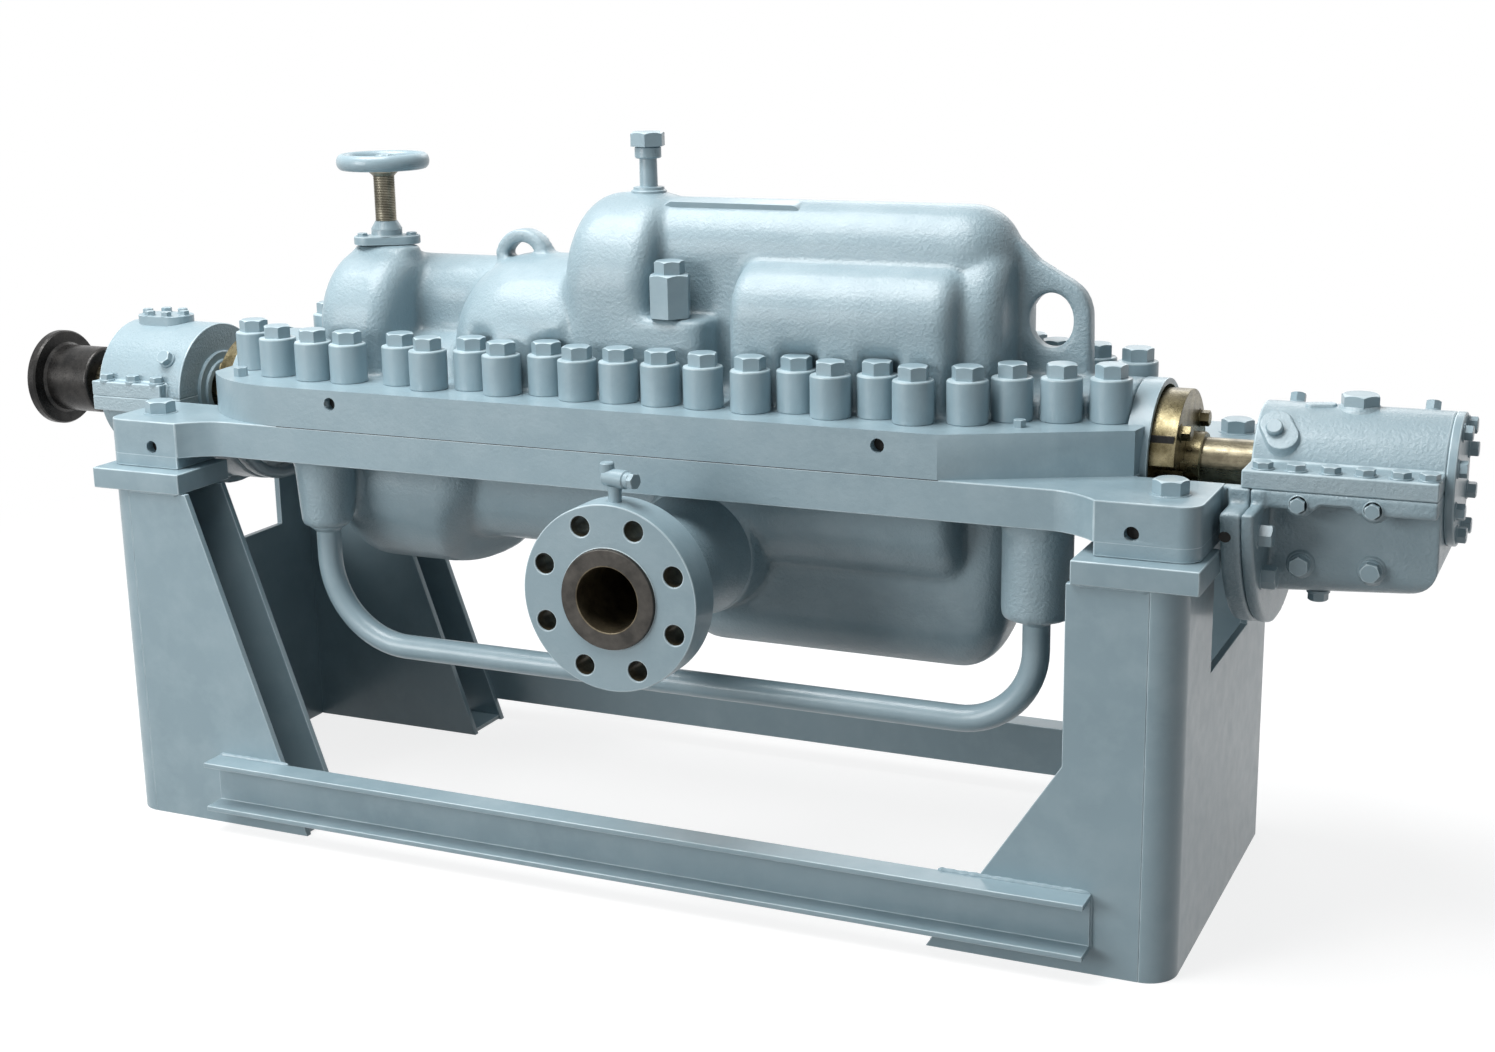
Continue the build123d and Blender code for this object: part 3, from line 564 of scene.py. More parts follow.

# Raised strip along the front of the crossover's crown
strip = bmesh.new()
rows = []
for x, ridge_y, ridge_z, top_z in (
    (0.004, -0.0445, 1.0765, 1.0868), (0.024, -0.0465, 1.0866, 1.0894), (0.238, -0.0465, 1.0852, 1.0894),
    (0.2450, -0.0460, 1.0832, 1.0886), (0.2495, -0.0435, 1.0775, 1.0868),
):
    section = ((ridge_y, ridge_z), (-0.0430, 1.0700), (-0.0200, 1.0690), (-0.0140, top_z))
    rows.append([strip.verts.new((x, y, z)) for y, z in section])
capped_skin(strip, rows)
rounded(put(mesh_of(strip, "crown_strip"), "crown_strip", flat_paint), 0.0010)

# Lower casing: plan of the split flange with its feet, from the middle of the front side
TURN_X, HALF_Y, END_X = 0.735, 0.267, 0.826
FOOT_IN, FOOT_OUT, FOOT_Y, FOOT_BACK, FOOT_CORNER = 0.807, 0.957, 0.308, 0.140, 0.030


def quarter():
    """Front right quarter of the flange plan."""
    points = [(0.0, -HALF_Y), (TURN_X, -HALF_Y)]
    steps = 10
    for i in range(1, steps):
        t = i / steps
        h00, h10 = 2 * t**3 - 3 * t**2 + 1, t**3 - 2 * t**2 + t
        h01, h11 = -2 * t**3 + 3 * t**2, t**3 - t**2
        reach = FOOT_IN - TURN_X
        x = h00 * TURN_X + h10 * reach + h01 * FOOT_IN + h11 * reach * 0.6
        y = -h00 * HALF_Y - h01 * FOOT_Y - h11 * reach * 0.8
        points.append((x, y))
    points.append((FOOT_IN, -FOOT_Y))
    r = FOOT_CORNER
    for i in range(7):
        angle = -pi / 2 + pi / 2 * i / 6
        points.append((FOOT_OUT - r + r * cos(angle), -FOOT_Y + r + r * sin(angle)))
    points += [(FOOT_OUT, -FOOT_BACK), (END_X, -FOOT_BACK)]
    return points


right_front = quarter()
right_rear = [(x, -y) for x, y in reversed(right_front)]
left_rear = [(-x, -y) for x, y in right_front[1:]]
left_front = [(-x, y) for x, y in reversed(right_front[1:])]
flange_outline = right_front + right_rear + left_rear + left_front
lower_flange = prism("lower_flange", flange_outline, SPLIT_BOTTOM, SHAFT_Z, flat_paint, 0.0022)
tapped(lower_flange, FOOT_HOLES)
seam_y = HALF_Y - 0.0003
seam = [
    (-0.625, -seam_y), (0.560, -seam_y), (0.8210, -0.1401),
    (0.8210, 0.1401), (0.560, seam_y), (-0.625, seam_y),
]
prism("split_seam", seam, SHAFT_Z - 0.0014, SHAFT_Z + 0.0014, dark_hole, 0.0002)
for sx in (-1, 1):
    for sy in (-1, 1):
        foot = [(FOOT_IN, -FOOT_BACK), (FOOT_IN, -FOOT_Y)] + [
            p for p in right_front if p[0] > FOOT_IN + 0.001 and p[1] < -FOOT_BACK - 0.001
        ] + [(FOOT_OUT, -FOOT_BACK)]
        outline = [(sx * x * 0.99995, -sy * y * 0.9999) for x, y in foot]
        prism(f"foot_{'lr'[sx > 0]}{'fr'[sy > 0]}", outline, 0.630, SPLIT_BOTTOM + 0.004, flat_paint, 0.0030)


def unit(value):
    """The value held between 0 and 1."""
    return min(1.0, max(0.0, value))


# The pipe's left boss is slimmer, the suction bowl falls off to the right and the keel's end is drawn in
belly = clean_copy("lower_casing", 0)
for vert in belly.verts:
    out = Vector((vert.co.x - PIPE_X, vert.co.y - PIPE_Y))
    if out.length < 0.063 and vert.co.z < 0.62:
        vert.co.x = PIPE_X + out.x * 0.84
        vert.co.y = PIPE_Y + out.y * 0.84
        vert.co.z += 0.010
    right_side = unit((vert.co.x + 0.45) / 0.13) * unit((-0.14 - vert.co.x) / 0.17)
    front = unit((0.06 - vert.co.y) / 0.12)
    vert.co.x -= 0.078 * right_side * front * unit((0.62 - vert.co.z) / 0.18)
    keel = unit((0.470 - vert.co.z) / 0.127)
    vert.co.x -= 0.048 * keel * unit((vert.co.x - 0.40) / 0.17)
cut(belly, (0, 0, SPLIT_BOTTOM + 0.015), (0, 0, 1))
cut(belly, (0.832, 0, 0), (1, 0, 0))
cut(belly, (-0.832, 0, 0), (-1, 0, 0))


def under_flange(c):
    """Faces that the flange and the feet hide."""
    return c.z > SPLIT_BOTTOM + 0.0003 or (abs(c.x) > 0.806 and abs(c.y) > 0.139 and c.z > 0.628)


belly_piece = cast(belly, "lower_lobes", cast_paint, 0.0055, 22, under_flange, (0, 0, 0.0008))
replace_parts(belly_piece, "lower_casing")
# Painted shade: faces inside the nozzle bores of the casing take the near-black material.
belly_piece.data.materials.append(dark_hole)
for polygon in belly_piece.data.polygons:
    c = polygon.center
    for x, way, bore in ((DISCHARGE_X, -1, 0.053), (SUCTION_X, 1, 0.079)):
        if ((c.x - x) ** 2 + (c.z - NOZZLE_Z) ** 2) ** 0.5 < bore and 0.03 < c.y * way < 0.1615:
            polygon.material_index = 1
for side, x in (("left", -0.828), ("right", 0.828)):
    trough = clean_copy("lower_casing", 0)
    way = 1 if x > 0 else -1
    cut(trough, (x, 0, 0), (-way, 0, 0))
    cast(
        trough, side + "_bracket", cast_paint, 0.0040, 7,
        lambda c: abs(c.x) < 0.9575 and abs(c.y) > 0.1395 and c.z > 0.629,
    )
    lathe(
        side + "_box_rim", [(0.0, 0.1128), (0.0, 0.1222), (0.0345, 0.1222), (0.0345, 0.1128)],
        (way * 0.801, 0, SHAFT_Z), (way, 0, 0), flat_paint, closed=True, edge=0.0012,
    )

# Cap nuts


def cap_nut(bm, low, high, spin, hex_height=0.021, flats=0.043):
    centre = middle(low, high, low.z)
    r = (high.x - low.x) / 2
    skirt = high.z - low.z - hex_height
    start = len(bm.faces)
    profile = [
        (0.0, r - 0.0012), (0.0012, r), (skirt - 0.0030, r), (skirt - 0.0008, r - 0.0012),
        (skirt, r - 0.0040), (skirt, flats * 0.5),
    ]
    turned(bm, profile, aim(centre, (0, 0, 1)), 40)
    # Painted highlight: the shoulder ring at the top of the skirt is marked for the lighter paint.
    bm.faces.ensure_lookup_table()
    for face in bm.faces[start:]:
        if min(vert.co.z for vert in face.verts) > low.z + skirt - 0.0031:
            face.material_index = 1
    hexagon(bm, centre, (0, 0, 1), flats, hex_height, spin, skirt)


for node in ("front_casing_nuts", "rear_casing_nuts"):
    makings = [(cap_nut, low, high, 0.7 * i * i) for i, (low, high) in enumerate(ends_of(node))]
    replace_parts(group(node + "_skin", makings, flat_paint), node)
makings = []
for low, high in ends_of("pocket_nuts"):
    centre = middle(low, high, low.z)
    makings.append((hexagon, centre, (0, 0, 1), 0.061, 0.070, 0.35, 0.0))
    makings.append((hexagon, centre, (0, 0, 1), 0.043, 0.021, 0.1, 0.070))
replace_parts(group("pocket_nuts_skin", makings, flat_paint), "pocket_nuts")

# Nozzles: the flange follows the CAD, and the neck flares into the casing


def nozzle(node, x, way, root, waist, back):
    mesh = dress(node, flat_paint, 0.0022).data
    mesh.materials.append(face_metal)
    mesh.materials.append(bore_metal)
    face_slot, bore_slot = mesh.materials.find("bare_face"), mesh.materials.find("bore_bronze")
    low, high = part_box(node)
    face = low.y if way < 0 else high.y
    raised = 0.0785 if way < 0 else 0.108
    bore = DISCHARGE_BORE if way < 0 else SUCTION_BORE
    # Radius of the bolt circle, and of one hole
    pcd, hole = (0.1175, 0.016) if way < 0 else (0.135, 0.011)
    for polygon in mesh.polygons:
        corners = [mesh.vertices[i].co for i in polygon.vertices]
        reach = [((c.x - x) ** 2 + (c.z - NOZZLE_Z) ** 2) ** 0.5 for c in corners]
        deep = max(abs(c.y - face) for c in corners)
        in_holes = min(reach) > pcd - hole - 0.001 and max(reach) < pcd + hole + 0.001
        if max(reach) < bore + 0.0028:
            polygon.material_index = bore_slot
        elif max(reach) < raised + 0.0012 and deep < 0.0066:
            polygon.material_index = face_slot
        elif deep > 0.0105 and in_holes and abs(polygon.normal.y) < 0.3:
            polygon.material_index = bore_slot
    profile = []
    steps = 18
    for i in range(steps + 1):
        t = i / steps
        r = waist + (root - waist) * (1 - t) ** 3.2
        profile.append((0.150 + (back - 0.150) * t, r))
    profile.append((back + 0.004, waist + 0.004))
    lathe(node + "_neck", profile, (x, 0, NOZZLE_Z), (0, way, 0), cast_paint, count=72, capped=False)


nozzle("discharge_nozzle", DISCHARGE_X, -1, 0.106, 0.0815, 0.386)
nozzle("suction_nozzle", SUCTION_X, 1, 0.118, 0.108, 0.412)

# Balance pipe


def swept(name, route, radius, material, count=28):
    """Round tube along points that already follow the bends."""
    bm = bmesh.new()
    rings = []
    for i, point in enumerate(route):
        before, after = route[max(i - 1, 0)], route[min(i + 1, len(route) - 1)]
        rings.append(loop_of(bm, radius, 0.0, count, aim(point, after - before)))
    for first, second in zip(rings, rings[1:]):
        for i in range(count):
            nearest = min(range(count), key=lambda k: (second[k].co - first[0].co).length)
            a, b = first[i], first[(i + 1) % count]
            c, d = second[(i + 1 + nearest) % count], second[(i + nearest) % count]
            bm.faces.new((a, b, c, d))
    bm.faces.new(rings[0])
    bm.faces.new(rings[-1])
    return smooth(put(mesh_of(bm, name), name, material))


def arc(centre, radius, start, end, count, y):
    return [
        Vector((
            centre[0] + radius * cos(start + (end - start) * i / count), y,
            centre[1] + radius * sin(start + (end - start) * i / count),
        ))
        for i in range(count + 1)
    ]


pipe_route = [Vector((PIPE_X, PIPE_Y, 0.530))]
pipe_route += arc((-0.425, 0.475), 0.150, pi, 1.5 * pi, 16, PIPE_Y)
pipe_route += arc((0.575, 0.447), 0.122, 1.5 * pi, 2 * pi, 16, PIPE_Y)
pipe_route += [Vector((0.697, PIPE_Y, 0.498))]
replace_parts(swept("balance_pipe_skin", pipe_route, 0.021, flat_paint), "balance_pipe")
for x, z in ((PIPE_X, 0.529), (0.697, 0.498)):
    collar = [(-0.003, 0.030), (0.001, 0.0295), (0.004, 0.0265), (0.0075, 0.0225), (0.009, 0.0205)]
    lathe(f"pipe_weld_{'lr'[x > 0]}", collar, (x, PIPE_Y, z), (0, 0, -1), flat_paint, count=40)

# Vent pipe and its cap
VENT_X = -0.038
vent = Matrix.Translation((VENT_X, 0, 0))
vent_pipe = [
    (1.094, 0.0295), (1.0985, 0.0295), (1.1000, 0.0280), (1.1005, 0.0260), (1.1045, 0.0255), (1.1055, 0.0150),
    (1.153, 0.0145),
]
vent_collar = [(1.1515, 0.0205), (1.1535, 0.0220), (1.1685, 0.0220), (1.1700, 0.0200), (1.1715, 0.0180)]
group("vent", [
    (turned, vent_pipe, vent, 44), (turned, vent_collar, vent, 44),
    (hexagon, (VENT_X, 0, 0), (0, 0, 1), 0.052, 0.0235, 0.3, 1.1710),
], flat_paint)
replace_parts(bpy.data.objects["vent"], "vent_pipe")

# Valve: gland plate, stem and handwheel
GLAND_TURN = radians(28)
gland_plate = clean_copy("valve_gland")
bmesh.ops.rotate(
    gland_plate, verts=gland_plate.verts, cent=(VALVE_X, 0, 0), matrix=Matrix.Rotation(GLAND_TURN, 3, "Z"),
)
gland_plate = put(mesh_of(gland_plate, "valve_gland_skin"), "valve_gland_skin", flat_paint)
rounded(gland_plate, 0.0020)
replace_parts(gland_plate, "valve_gland")
low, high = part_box("valve_gland")
makings = []
for s in (-1, 1):
    place = (VALVE_X + s * 0.043 * cos(GLAND_TURN), s * 0.043 * sin(GLAND_TURN), low.z + 0.015)
    makings.append((bolt, place, (0, 0, 1), 0.017, 0.004, 0.4 * s, 0.001))
group("valve_gland_bolts", makings, flat_paint)
lathe(
    "valve_gland_cone", [(0.0, 0.0275), (0.002, 0.0265), (0.012, 0.0205), (0.0145, 0.0192)],
    (VALVE_X, 0, low.z + 0.0265), (0, 0, 1), flat_paint, count=48,
)
low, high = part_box("valve_stem")
thread = []
TURNS = 34
for i in range(TURNS):
    z = 0.030 + (high.z - low.z - 0.034) * i / TURNS
    thread += [(z, 0.0185), (z + 0.0013, 0.0185), (z + 0.0020, 0.0174)]
stem = [(0.0, 0.0185)] + thread + [(high.z - low.z, 0.0185)]
lathe("stem_rod", stem, (VALVE_X, 0, low.z), (0, 0, 1), stem_metal, "valve", 40)
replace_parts(bpy.data.objects["stem_rod"], "valve_stem")


def torus(bm, centre, major, minor, squash, count=72, around=20):
    rings = []
    for i in range(around):
        angle = 2 * pi * i / around
        radius, height = major + minor * cos(angle), squash * minor * sin(angle)
        rings.append(loop_of(bm, radius, height, count, Matrix.Translation(centre)))
    bridge(bm, rings + rings[:1])


WHEEL_Z = 1.140
wheel = bmesh.new()
torus(wheel, (VALVE_X, 0, WHEEL_Z - 0.002), 0.0705, 0.0102, 1.36)
wheel_boss = [(-0.0150, 0.0200), (-0.0135, 0.0222), (-0.006, 0.0222), (0.000, 0.0205), (0.0030, 0.0165)]
turned(wheel, wheel_boss, Matrix.Translation((VALVE_X, 0, WHEEL_Z)), 40)
# Spokes, from (distance out, half width, half height, height)
STATIONS = (
    (0.016, 0.0120, 0.0048, -0.006), (0.032, 0.0090, 0.0042, -0.008),
    (0.048, 0.0085, 0.0042, -0.007), (0.066, 0.0120, 0.0060, -0.003),
)
for i in range(3):
    spoke = Matrix.Translation((VALVE_X, 0, WHEEL_Z)) @ Matrix.Rotation(radians(120 * i + 15), 4, "Z")
    rings = []
    for reach_x, half_w, half_h, drop_z in STATIONS:
        ring = []
        for k in range(16):
            angle = 2 * pi * k / 16
            corner = Vector((reach_x, half_w * cos(angle), drop_z + half_h * sin(angle)))
            ring.append(wheel.verts.new(spoke @ corner))
        rings.append(ring)
    bridge(wheel, rings)
hexagon(wheel, (VALVE_X, 0, WHEEL_Z), (0, 0, 1), 0.022, 0.006, 0.2, 0.0030)
handwheel = edged(smooth(put(mesh_of(wheel, "handwheel_skin"), "handwheel_skin", flat_paint, "valve"), 40))
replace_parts(handwheel, "handwheel")
lathe(
    "wheel_hub", [(0.0, 0.0190), (0.002, 0.0205), (0.006, 0.0250), (0.0125, 0.0262), (0.0150, 0.0250)],
    (VALVE_X, 0, WHEEL_Z - 0.0270), (0, 0, 1), stem_metal, "valve", 48,
)

# Rotor: shaft, coupling hub and sleeves
rod = [(0.0, 0.033), (0.003, 0.036), (2.56, 0.036), (2.562, 0.034)]
lathe("shaft_rod", rod, (-1.326, 0, SHAFT_Z), (1, 0, 0), steel, "rotor", 72)
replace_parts(bpy.data.objects["shaft_rod"], "shaft")
hub = [
    (0.0, 0.0362), (0.0, 0.082), (0.003, 0.0885), (0.005, 0.090), (0.018, 0.090), (0.0215, 0.0875),
    (0.0225, 0.080), (0.0235, 0.068), (0.028, 0.0635), (0.034, 0.063), (0.116, 0.063), (0.120, 0.0605),
    (0.122, 0.057), (0.122, 0.0362),
]
lathe("hub_turned", hub, (-1.337, 0, SHAFT_Z), (1, 0, 0), black, "rotor", 96, closed=True)
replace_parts(bpy.data.objects["hub_turned"], "coupling_hub")
sleeve = [
    (0.0, 0.0361), (0.0, 0.044), (0.050, 0.044), (0.0515, 0.0425), (0.055, 0.0425), (0.0565, 0.044),
    (0.084, 0.044), (0.086, 0.0425), (0.086, 0.0361),
]
for x, way in ((0.811, 1), (-0.811, -1)):
    name = f"sleeve_{'lr'[way > 0]}"
    piece = lathe(name, sleeve, (x, 0, SHAFT_Z), (way, 0, 0), bronze, "rotor", 72, closed=True)
    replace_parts(piece, "shaft_sleeves")

# Glands, a dark band on the right one, and a near-black disc of painted shade for the hole in the bracket's
# lug
for side, way in (("right", 1), ("left", -1)):
    dress(side + "_gland", bronze, 0.0022)
    low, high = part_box(side + "_gland")
    x = high.x if way > 0 else low.x
    makings = []
    for a in (radians(40), radians(140), radians(220), radians(320)):
        place = (x - way * 0.001, 0.082 * cos(a), SHAFT_Z + 0.082 * sin(a))
        makings.append((bolt, place, (way, 0, 0), 0.022, 0.014, a, 0.0025))
    group(side + "_gland_bolts", makings, bronze)

low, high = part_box("right_gland")
# A dark band across the front of the right gland.
prism(
    "gland_dark_band", [(0.826, -0.0990), (high.x - 0.003, -0.0990), (high.x - 0.003, -0.060), (0.826, -0.060)],
    0.7535, 0.7655, dark_hole, 0.0004,
)
# Painted shade: a thin near-black disc stands for the hole in the bracket's lug.
lathe(
    "bracket_lug_hole", [(-0.002, 0.0085), (0.0006, 0.0085)], (0.976, -0.2275, 0.6540), (0, -0.968, -0.25),
    dark_hole, count=28,
)

# Bearing housings
dress("left_bearing_upper", cast_paint, 0.0028, segments=3)
dress("left_bearing_lower", cast_paint, 0.0028, segments=3)
dress("left_oil_cover", flat_paint, 0.0025, segments=3)
dress("thrust_bearing_upper", cast_paint, 0.0030, segments=3)
dress("thrust_end_cover", flat_paint, 0.0025, segments=3)

# The thrust housing's lower half: raised bottom, round end and a recess under its flange
sump = clean_copy("thrust_bearing_lower", 0)
for vert in sump.verts:
    if vert.co.z < 0.62 and vert.co.x > 1.03:
        vert.co.z = 0.62 - (0.62 - vert.co.z) * 0.80
sump_piece = cast(
    sump, "thrust_sump", cast_paint, 0.0032, 12,
    lambda c: False, crisp=lambda c: 0.35 if c.z > 0.690 else 1.0,
)
for vert in sump_piece.data.vertices:
    c = vert.co
    run, fall = (c.x - 1.205) / 0.050, (0.605 - c.z) / 0.048
    reach = (run * run + fall * fall) ** 0.5
    if run > 0 and fall > 0 and reach > 1:
        c.x, c.z = 1.205 + 0.050 * run / reach, 0.605 - 0.048 * fall / reach
    inside = min(c.x - 1.086, 1.147 - c.x)
    if abs(c.y) > 0.120 and 0.676 < c.z < 0.697 and inside > 0:
        c.z += 0.008 * min(1.0, inside / 0.008) * min(1.0, (0.697 - c.z) / 0.008)
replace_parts(sump_piece, "thrust_bearing_lower")


def up_from_shaft(y):
    """Height of the thrust housing's round top over a line along the shaft."""
    return SHAFT_Z + (HOUSING_R**2 - y**2) ** 0.5


def outward(y):
    """Direction straight out of the round top there."""
    return (0, y / HOUSING_R, (1 - (y / HOUSING_R) ** 2) ** 0.5)


end_bolts = []
for i, (low, high) in enumerate(ends_of("end_cover_bolts")):
    place = (low.x, (low.y + high.y) / 2, (low.z + high.z) / 2)
    end_bolts.append((bolt, place, (1, 0, 0), 0.0215, high.x - low.x - 0.002, i * 0.8, 0.002))
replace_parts(group("end_cover_bolts_skin", end_bolts, flat_paint), "end_cover_bolts")

flange_z = SHAFT_Z + 0.027
thrust_bolts = [
    (bolt, (x, s * 0.146, flange_z), (0, 0, 1), 0.025, 0.009, x * 9, 0.002)
    for x in (1.010, 1.057, 1.105, 1.153, 1.201, 1.240) for s in (-1, 1)
]
thrust_bolts += [
    (bolt, (x, y, up_from_shaft(y) - 0.002), outward(y), 0.021, 0.014, x, 0.005)
    for x, y in ((1.022, 0.045), (1.217, 0.045))
]
thrust_bolts += [
    (bolt, (x, s * 0.164, 0.694), (0, s, 0), 0.020, 0.009, x, 0.002)
    for x in (1.065, 1.168) for s in (-1, 1)
]
thrust_bolts += [
    (bolt, (x, s * 0.1135, 0.594), (0, s, 0), 0.026, 0.014, x * 3, 0.006)
    for x in (1.064, 1.164) for s in (-1, 1)
]
thrust_bolts += [(bolt, (1.083, -0.060, 0.5425), (0, 0, -1), 0.026, 0.012, 0.3, 0.003)]
group("thrust_bolts", thrust_bolts, flat_paint)


def boss(bm, place, direction, radius, height, edge=0.003):
    """Cast round boss with a soft rim and a flared foot."""
    turned(bm, [
        (-0.006, radius + 0.005), (0.0, radius + 0.003), (edge, radius), (height - edge, radius - 0.0005),
        (height, radius - edge),
    ], aim(place, direction), 36)


def pad(bm, place, direction, spin, half_length, radius, height):
    """Oval cast pad with soft edges, lying along a direction."""
    matrix = aim(place, direction, spin)
    rings = []
    levels = ((-0.008, 0.004), (0.0, 0.002), (height * 0.6, 0.0), (height * 0.9, -0.0015), (height, -0.004))
    for lift, grow in levels:
        ring = []
        for i in range(40):
            angle = 2 * pi * i / 40
            shift = half_length if cos(angle) > 0 else -half_length
            corner = Vector((shift + (radius + grow) * cos(angle), (radius + grow) * sin(angle), lift))
            ring.append(bm.verts.new(matrix @ corner))
        rings.append(ring)
    capped_skin(bm, rings)


cast_details = [
    (boss, (x, s * 0.156, 0.694), (0, s, 0), 0.0165, 0.010)
    for x in (1.065, 1.168) for s in (-1, 1)
]
cast_details += [
    (boss, (x, s * 0.108, 0.594), (0, s, 0), 0.0215, 0.0075)
    for x in (1.064, 1.164) for s in (-1, 1)
]
cast_details += [
    (pad, (1.066, -0.010, 0.8045), (0, -0.1, 1), 0.25, 0.013, 0.010, 0.009),
    (pad, (1.018, -0.070, up_from_shaft(0.070) - 0.003), (0, -0.714, 0.70), 2.1, 0.012, 0.024, 0.008),
    (boss, (FILLER_X, 0, 0.806), (0, 0, 1), 0.031, 0.0065),
]
group("thrust_cast_details", cast_details, cast_paint)
plug_place = aim((1.012, -0.073, up_from_shaft(0.073) + 0.003), outward(-0.073))
plug = (turned, [(0.0, 0.0125), (0.012, 0.0125), (0.014, 0.0105)], plug_place, 28)
group("thrust_pad_plug", [plug], flat_paint)

# Bolts that hold the brackets to the housings
bracket_bolts = []
for side, x, radius in (("right", 1.0155, 0.198), ("left", -0.915, 0.150)):
    for k in range(7):
        angle = radians(-162 + 24 * k)
        if side == "left" or abs(radius * cos(angle)) > 0.10:
            place = (x, radius * cos(angle), SHAFT_Z + radius * sin(angle))
            bracket_bolts.append((bolt, place, (1, 0, 0), 0.030, 0.020, angle, 0.002))
group("bracket_bolts", bracket_bolts, flat_paint)

# Left housing: flange and cover bolts, plug, seal ring
COVER_BOLTS = ((-0.042, 0), (-0.018, -0.024), (-0.018, 0.024), (0.020, -0.024), (0.020, 0.024), (0.043, 0))
left_bolts = [
    (bolt, (x, s * 0.128, flange_z), (0, 0, 1), 0.021, 0.010, x * 7, 0.003)
    for x in (-1.104, -1.045, -0.990) for s in (-1, 1)
]
left_bolts += [
    (bolt, (-1.062 + dx, dy, 0.8455), (0, 0, 1), 0.017, 0.008, dx * 40, 0.0015) for dx, dy in COVER_BOLTS
]
left_bolts += [(bolt, (-0.982, -0.101, 0.779), (0, -0.83, 0.56), 0.024, 0.013, 0.2, 0.005)]
group("left_bolts", left_bolts, flat_paint)
seal_ring = [
    (-0.002, 0.046), (-0.002, 0.071), (0.004, 0.071), (0.006, 0.069), (0.006, 0.056), (0.011, 0.055),
    (0.012, 0.053), (0.012, 0.046),
]
lathe("left_seal_ring", seal_ring, (-0.945, 0, SHAFT_Z), (1, 0, 0), flat_paint, closed=True)
# Painted shade: a thin near-black disc stands for the well in the left cover.
lathe(
    "left_cover_well", [(-0.004, 0.0175), (0.0008, 0.0175)], (-0.990, -0.014, 0.8305), (0, -0.1, 1),
    dark_hole, count=28,
)

# Stud with a plain nut behind the left end of the front row, and plugs on the flange
extra = [(bolt, (-0.745, s * 0.196, SPLIT_TOP - 0.0005), (0, 0, 1), 0.021, 0.016, 0.3, 0.0) for s in (-1, 1)]
extra += [(bolt, (0.655, s * 0.170, SPLIT_TOP - 0.0005), (0, 0, 1), 0.017, 0.012, 0.5, 0.0) for s in (-1, 1)]
group("flange_plugs", extra, flat_paint)

# Foot bolts on washers, and the filler cap
makings = []
for i, (low, high) in enumerate(ends_of("foot_bolts")):
    place = middle(low, high, SHAFT_Z)
    makings.append((bolt, place, (0, 0, 1), 0.046, high.z - low.z - 0.001, i * 0.9, 0.001))
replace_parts(group("foot_bolts_skin", makings, flat_paint), "foot_bolts")
low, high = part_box("oil_filler_cap")
filler = (FILLER_X, 0, SHAFT_Z + HOUSING_R)
filler_neck = [(-0.012, 0.0235), (0.001, 0.0235), (0.003, 0.0225)]
group("filler_cap", [
    (turned, filler_neck, Matrix.Translation(filler), 36),
    (hexagon, filler, (0, 0, 1), 0.0508, high.z - SHAFT_Z - HOUSING_R, 0.3, 0.0),
], flat_paint)
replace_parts(bpy.data.objects["filler_cap"], "oil_filler_cap")

# Sample cock on the discharge flange
COCK_WAY = (1, -0.25, 0)
cock = bmesh.new()
turned(cock, [(0.672, 0.0105), (0.690, 0.0100), (0.702, 0.0120)], Matrix.Translation((0.108, -0.425, 0)), 28)
cock_body = [
    (-0.022, 0.0120), (-0.020, 0.0140), (0.018, 0.0140), (0.020, 0.0120), (0.028, 0.0120), (0.029, 0.0100),
]
turned(cock, cock_body, aim((0.112, -0.425, 0.713), COCK_WAY), 28)
hexagon(cock, (0.139, -0.432, 0.713), COCK_WAY, 0.022, 0.010, 0.3)
cock_stem = [(0.006, 0.0110), (0.021, 0.0110), (0.023, 0.0095)]
turned(cock, cock_stem, Matrix.Translation((0.094, -0.421, 0.713)), 24)
edged(smooth(put(mesh_of(cock, "sample_cock"), "sample_cock", flat_paint)))

# Painted shade: near-black discs at the bottoms of the tapped holes
for x, y, z in EDGE_HOLES + FOOT_HOLES:
    for s in (1, -1):
        lathe(
            f"well_{x:.3f}_{'rf'[s > 0]}".replace("-", "m"), [(0.0, 0.0108), (0.0006, 0.0108)],
            (x, s * (y + 0.017), z), (0, -s, 0), dark_hole, count=28,
        )

# Stage, light and camera
REACH = 30.0
floor_corners = [(-REACH, -REACH, 0), (REACH, -REACH, 0), (REACH, REACH, 0), (-REACH, REACH, 0)]
floor_mesh = bpy.data.meshes.new("floor")
floor_mesh.from_pydata(floor_corners, [], [(0, 1, 2, 3)])
floor = bpy.data.objects.new("floor", floor_mesh)
scene.collection.objects.link(floor)
floor_material = bpy.data.materials.new("studio_floor")
floor_material.use_nodes = True
tree = floor_material.node_tree
tree.nodes.clear()


def add_node(kind, **values):
    node = tree.nodes.new(kind)
    for name, value in values.items():
        node.inputs[name.replace("_", " ")].default_value = value
    return node


def seen_directly():
    """1 where the camera, a gloss or a glass sees the surface, 0 where it only gives light."""
    ray = add_node("ShaderNodeLightPath")
    total = ray.outputs["Is Camera Ray"]
    for name in ("Is Glossy Ray", "Is Transmission Ray"):
        both = add_node("ShaderNodeMath")
        both.operation = "MAXIMUM"
        tree.links.new(total, both.inputs[0])
        tree.links.new(ray.outputs[name], both.inputs[1])
        total = both.outputs[0]
    return total


def blend(factor, first, second):
    node = add_node("ShaderNodeMixShader")
    tree.links.new(factor, node.inputs["Fac"])
    tree.links.new(first.outputs[0], node.inputs[1])
    tree.links.new(second.outputs[0], node.inputs[2])
    return node


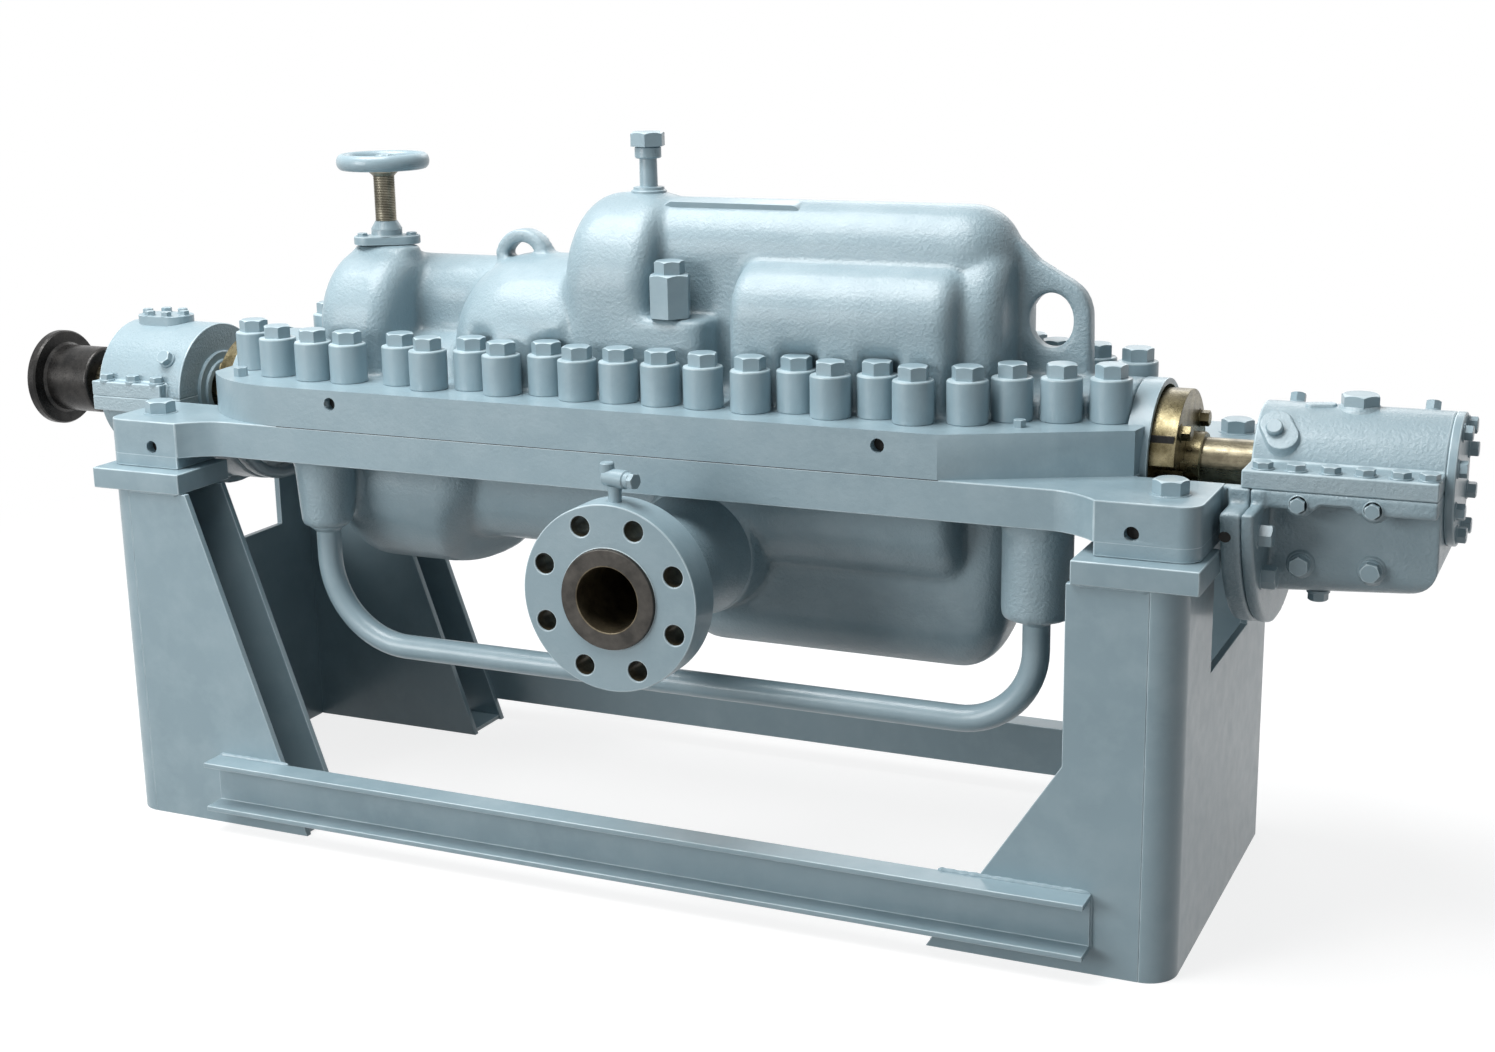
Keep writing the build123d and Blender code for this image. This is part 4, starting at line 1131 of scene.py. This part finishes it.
out = add_node("ShaderNodeOutputMaterial")
unseen = add_node("ShaderNodeBsdfDiffuse", Color=(0.20, 0.20, 0.20, 1))
shaded = add_node("ShaderNodeBsdfDiffuse", Color=(0.26, 0.26, 0.26, 1))
lift = add_node("ShaderNodeEmission", Color=(1, 1, 1, 1), Strength=0.82)
plain = add_node("ShaderNodeEmission", Color=(1, 1, 1, 1), Strength=1.0)
near = add_node("ShaderNodeAddShader")
tree.links.new(shaded.outputs[0], near.inputs[0])
tree.links.new(lift.outputs[0], near.inputs[1])
place = add_node("ShaderNodeTexCoord")
length = add_node("ShaderNodeVectorMath")
length.operation = "LENGTH"
tree.links.new(place.outputs["Object"], length.inputs[0])
far = add_node("ShaderNodeMapRange", From_Min=1.3, From_Max=3.2)
far.interpolation_type = "SMOOTHSTEP"
tree.links.new(length.outputs["Value"], far.inputs["Value"])
studio = blend(far.outputs["Result"], near, plain)
tree.links.new(blend(seen_directly(), unseen, studio).outputs[0], out.inputs["Surface"])
floor_mesh.materials.append(floor_material)

world = bpy.data.worlds.new("studio")
scene.world = world
world.use_nodes = True
tree = world.node_tree
tree.nodes.clear()
out = add_node("ShaderNodeOutputWorld")
white = add_node("ShaderNodeBackground", Color=(1, 1, 1, 1), Strength=1.0)
lit = add_node("ShaderNodeBackground", Color=(0.90, 0.96, 1.0, 1), Strength=0.22)
tree.links.new(blend(seen_directly(), lit, white).outputs[0], out.inputs["Surface"])


def lamp(name, place, target, size, power):
    data = bpy.data.lights.new(name, "AREA")
    data.shape = "RECTANGLE"
    data.size, data.size_y = size
    data.energy = power
    lamp_object = bpy.data.objects.new(name, data)
    lamp_object.location = place
    lamp_object.rotation_euler = (Vector(target) - Vector(place)).to_track_quat("-Z", "Y").to_euler()
    scene.collection.objects.link(lamp_object)


lamp("overhead", (-1.1, -0.9, 4.2), (-0.5, -0.5, 0.7), (2.9, 2.5), 235)
lamp("front", (-2.8, -4.7, 1.9), (0.0, 0.0, 0.6), (2.6, 2.2), 150)
lamp("rear", (-0.5, 4.5, 3.0), (0.0, 0.0, 0.7), (3.0, 1.5), 35)

camera_data = bpy.data.cameras.new("camera")
camera_data.sensor_fit = "HORIZONTAL"
camera_data.sensor_width = 36.0
FOCAL_PIXELS, PHOTO_WIDTH = 2099.5, 1495.0
camera_data.lens = 36.0 * FOCAL_PIXELS / PHOTO_WIDTH
camera = bpy.data.objects.new("camera", camera_data)
turn_z = Matrix.Rotation(radians(24.53), 4, "Z")
turn_x = Matrix.Rotation(radians(-14.13), 4, "X")
turn_y = Matrix.Rotation(radians(0.96), 4, "Y")
stand_up = Matrix.Rotation(radians(90), 4, "X")
camera.matrix_world = Matrix.Translation((1.555, -3.121, 1.405)) @ turn_z @ turn_x @ turn_y @ stand_up
scene.collection.objects.link(camera)
scene.camera = camera
scene.view_settings.view_transform = "Standard"
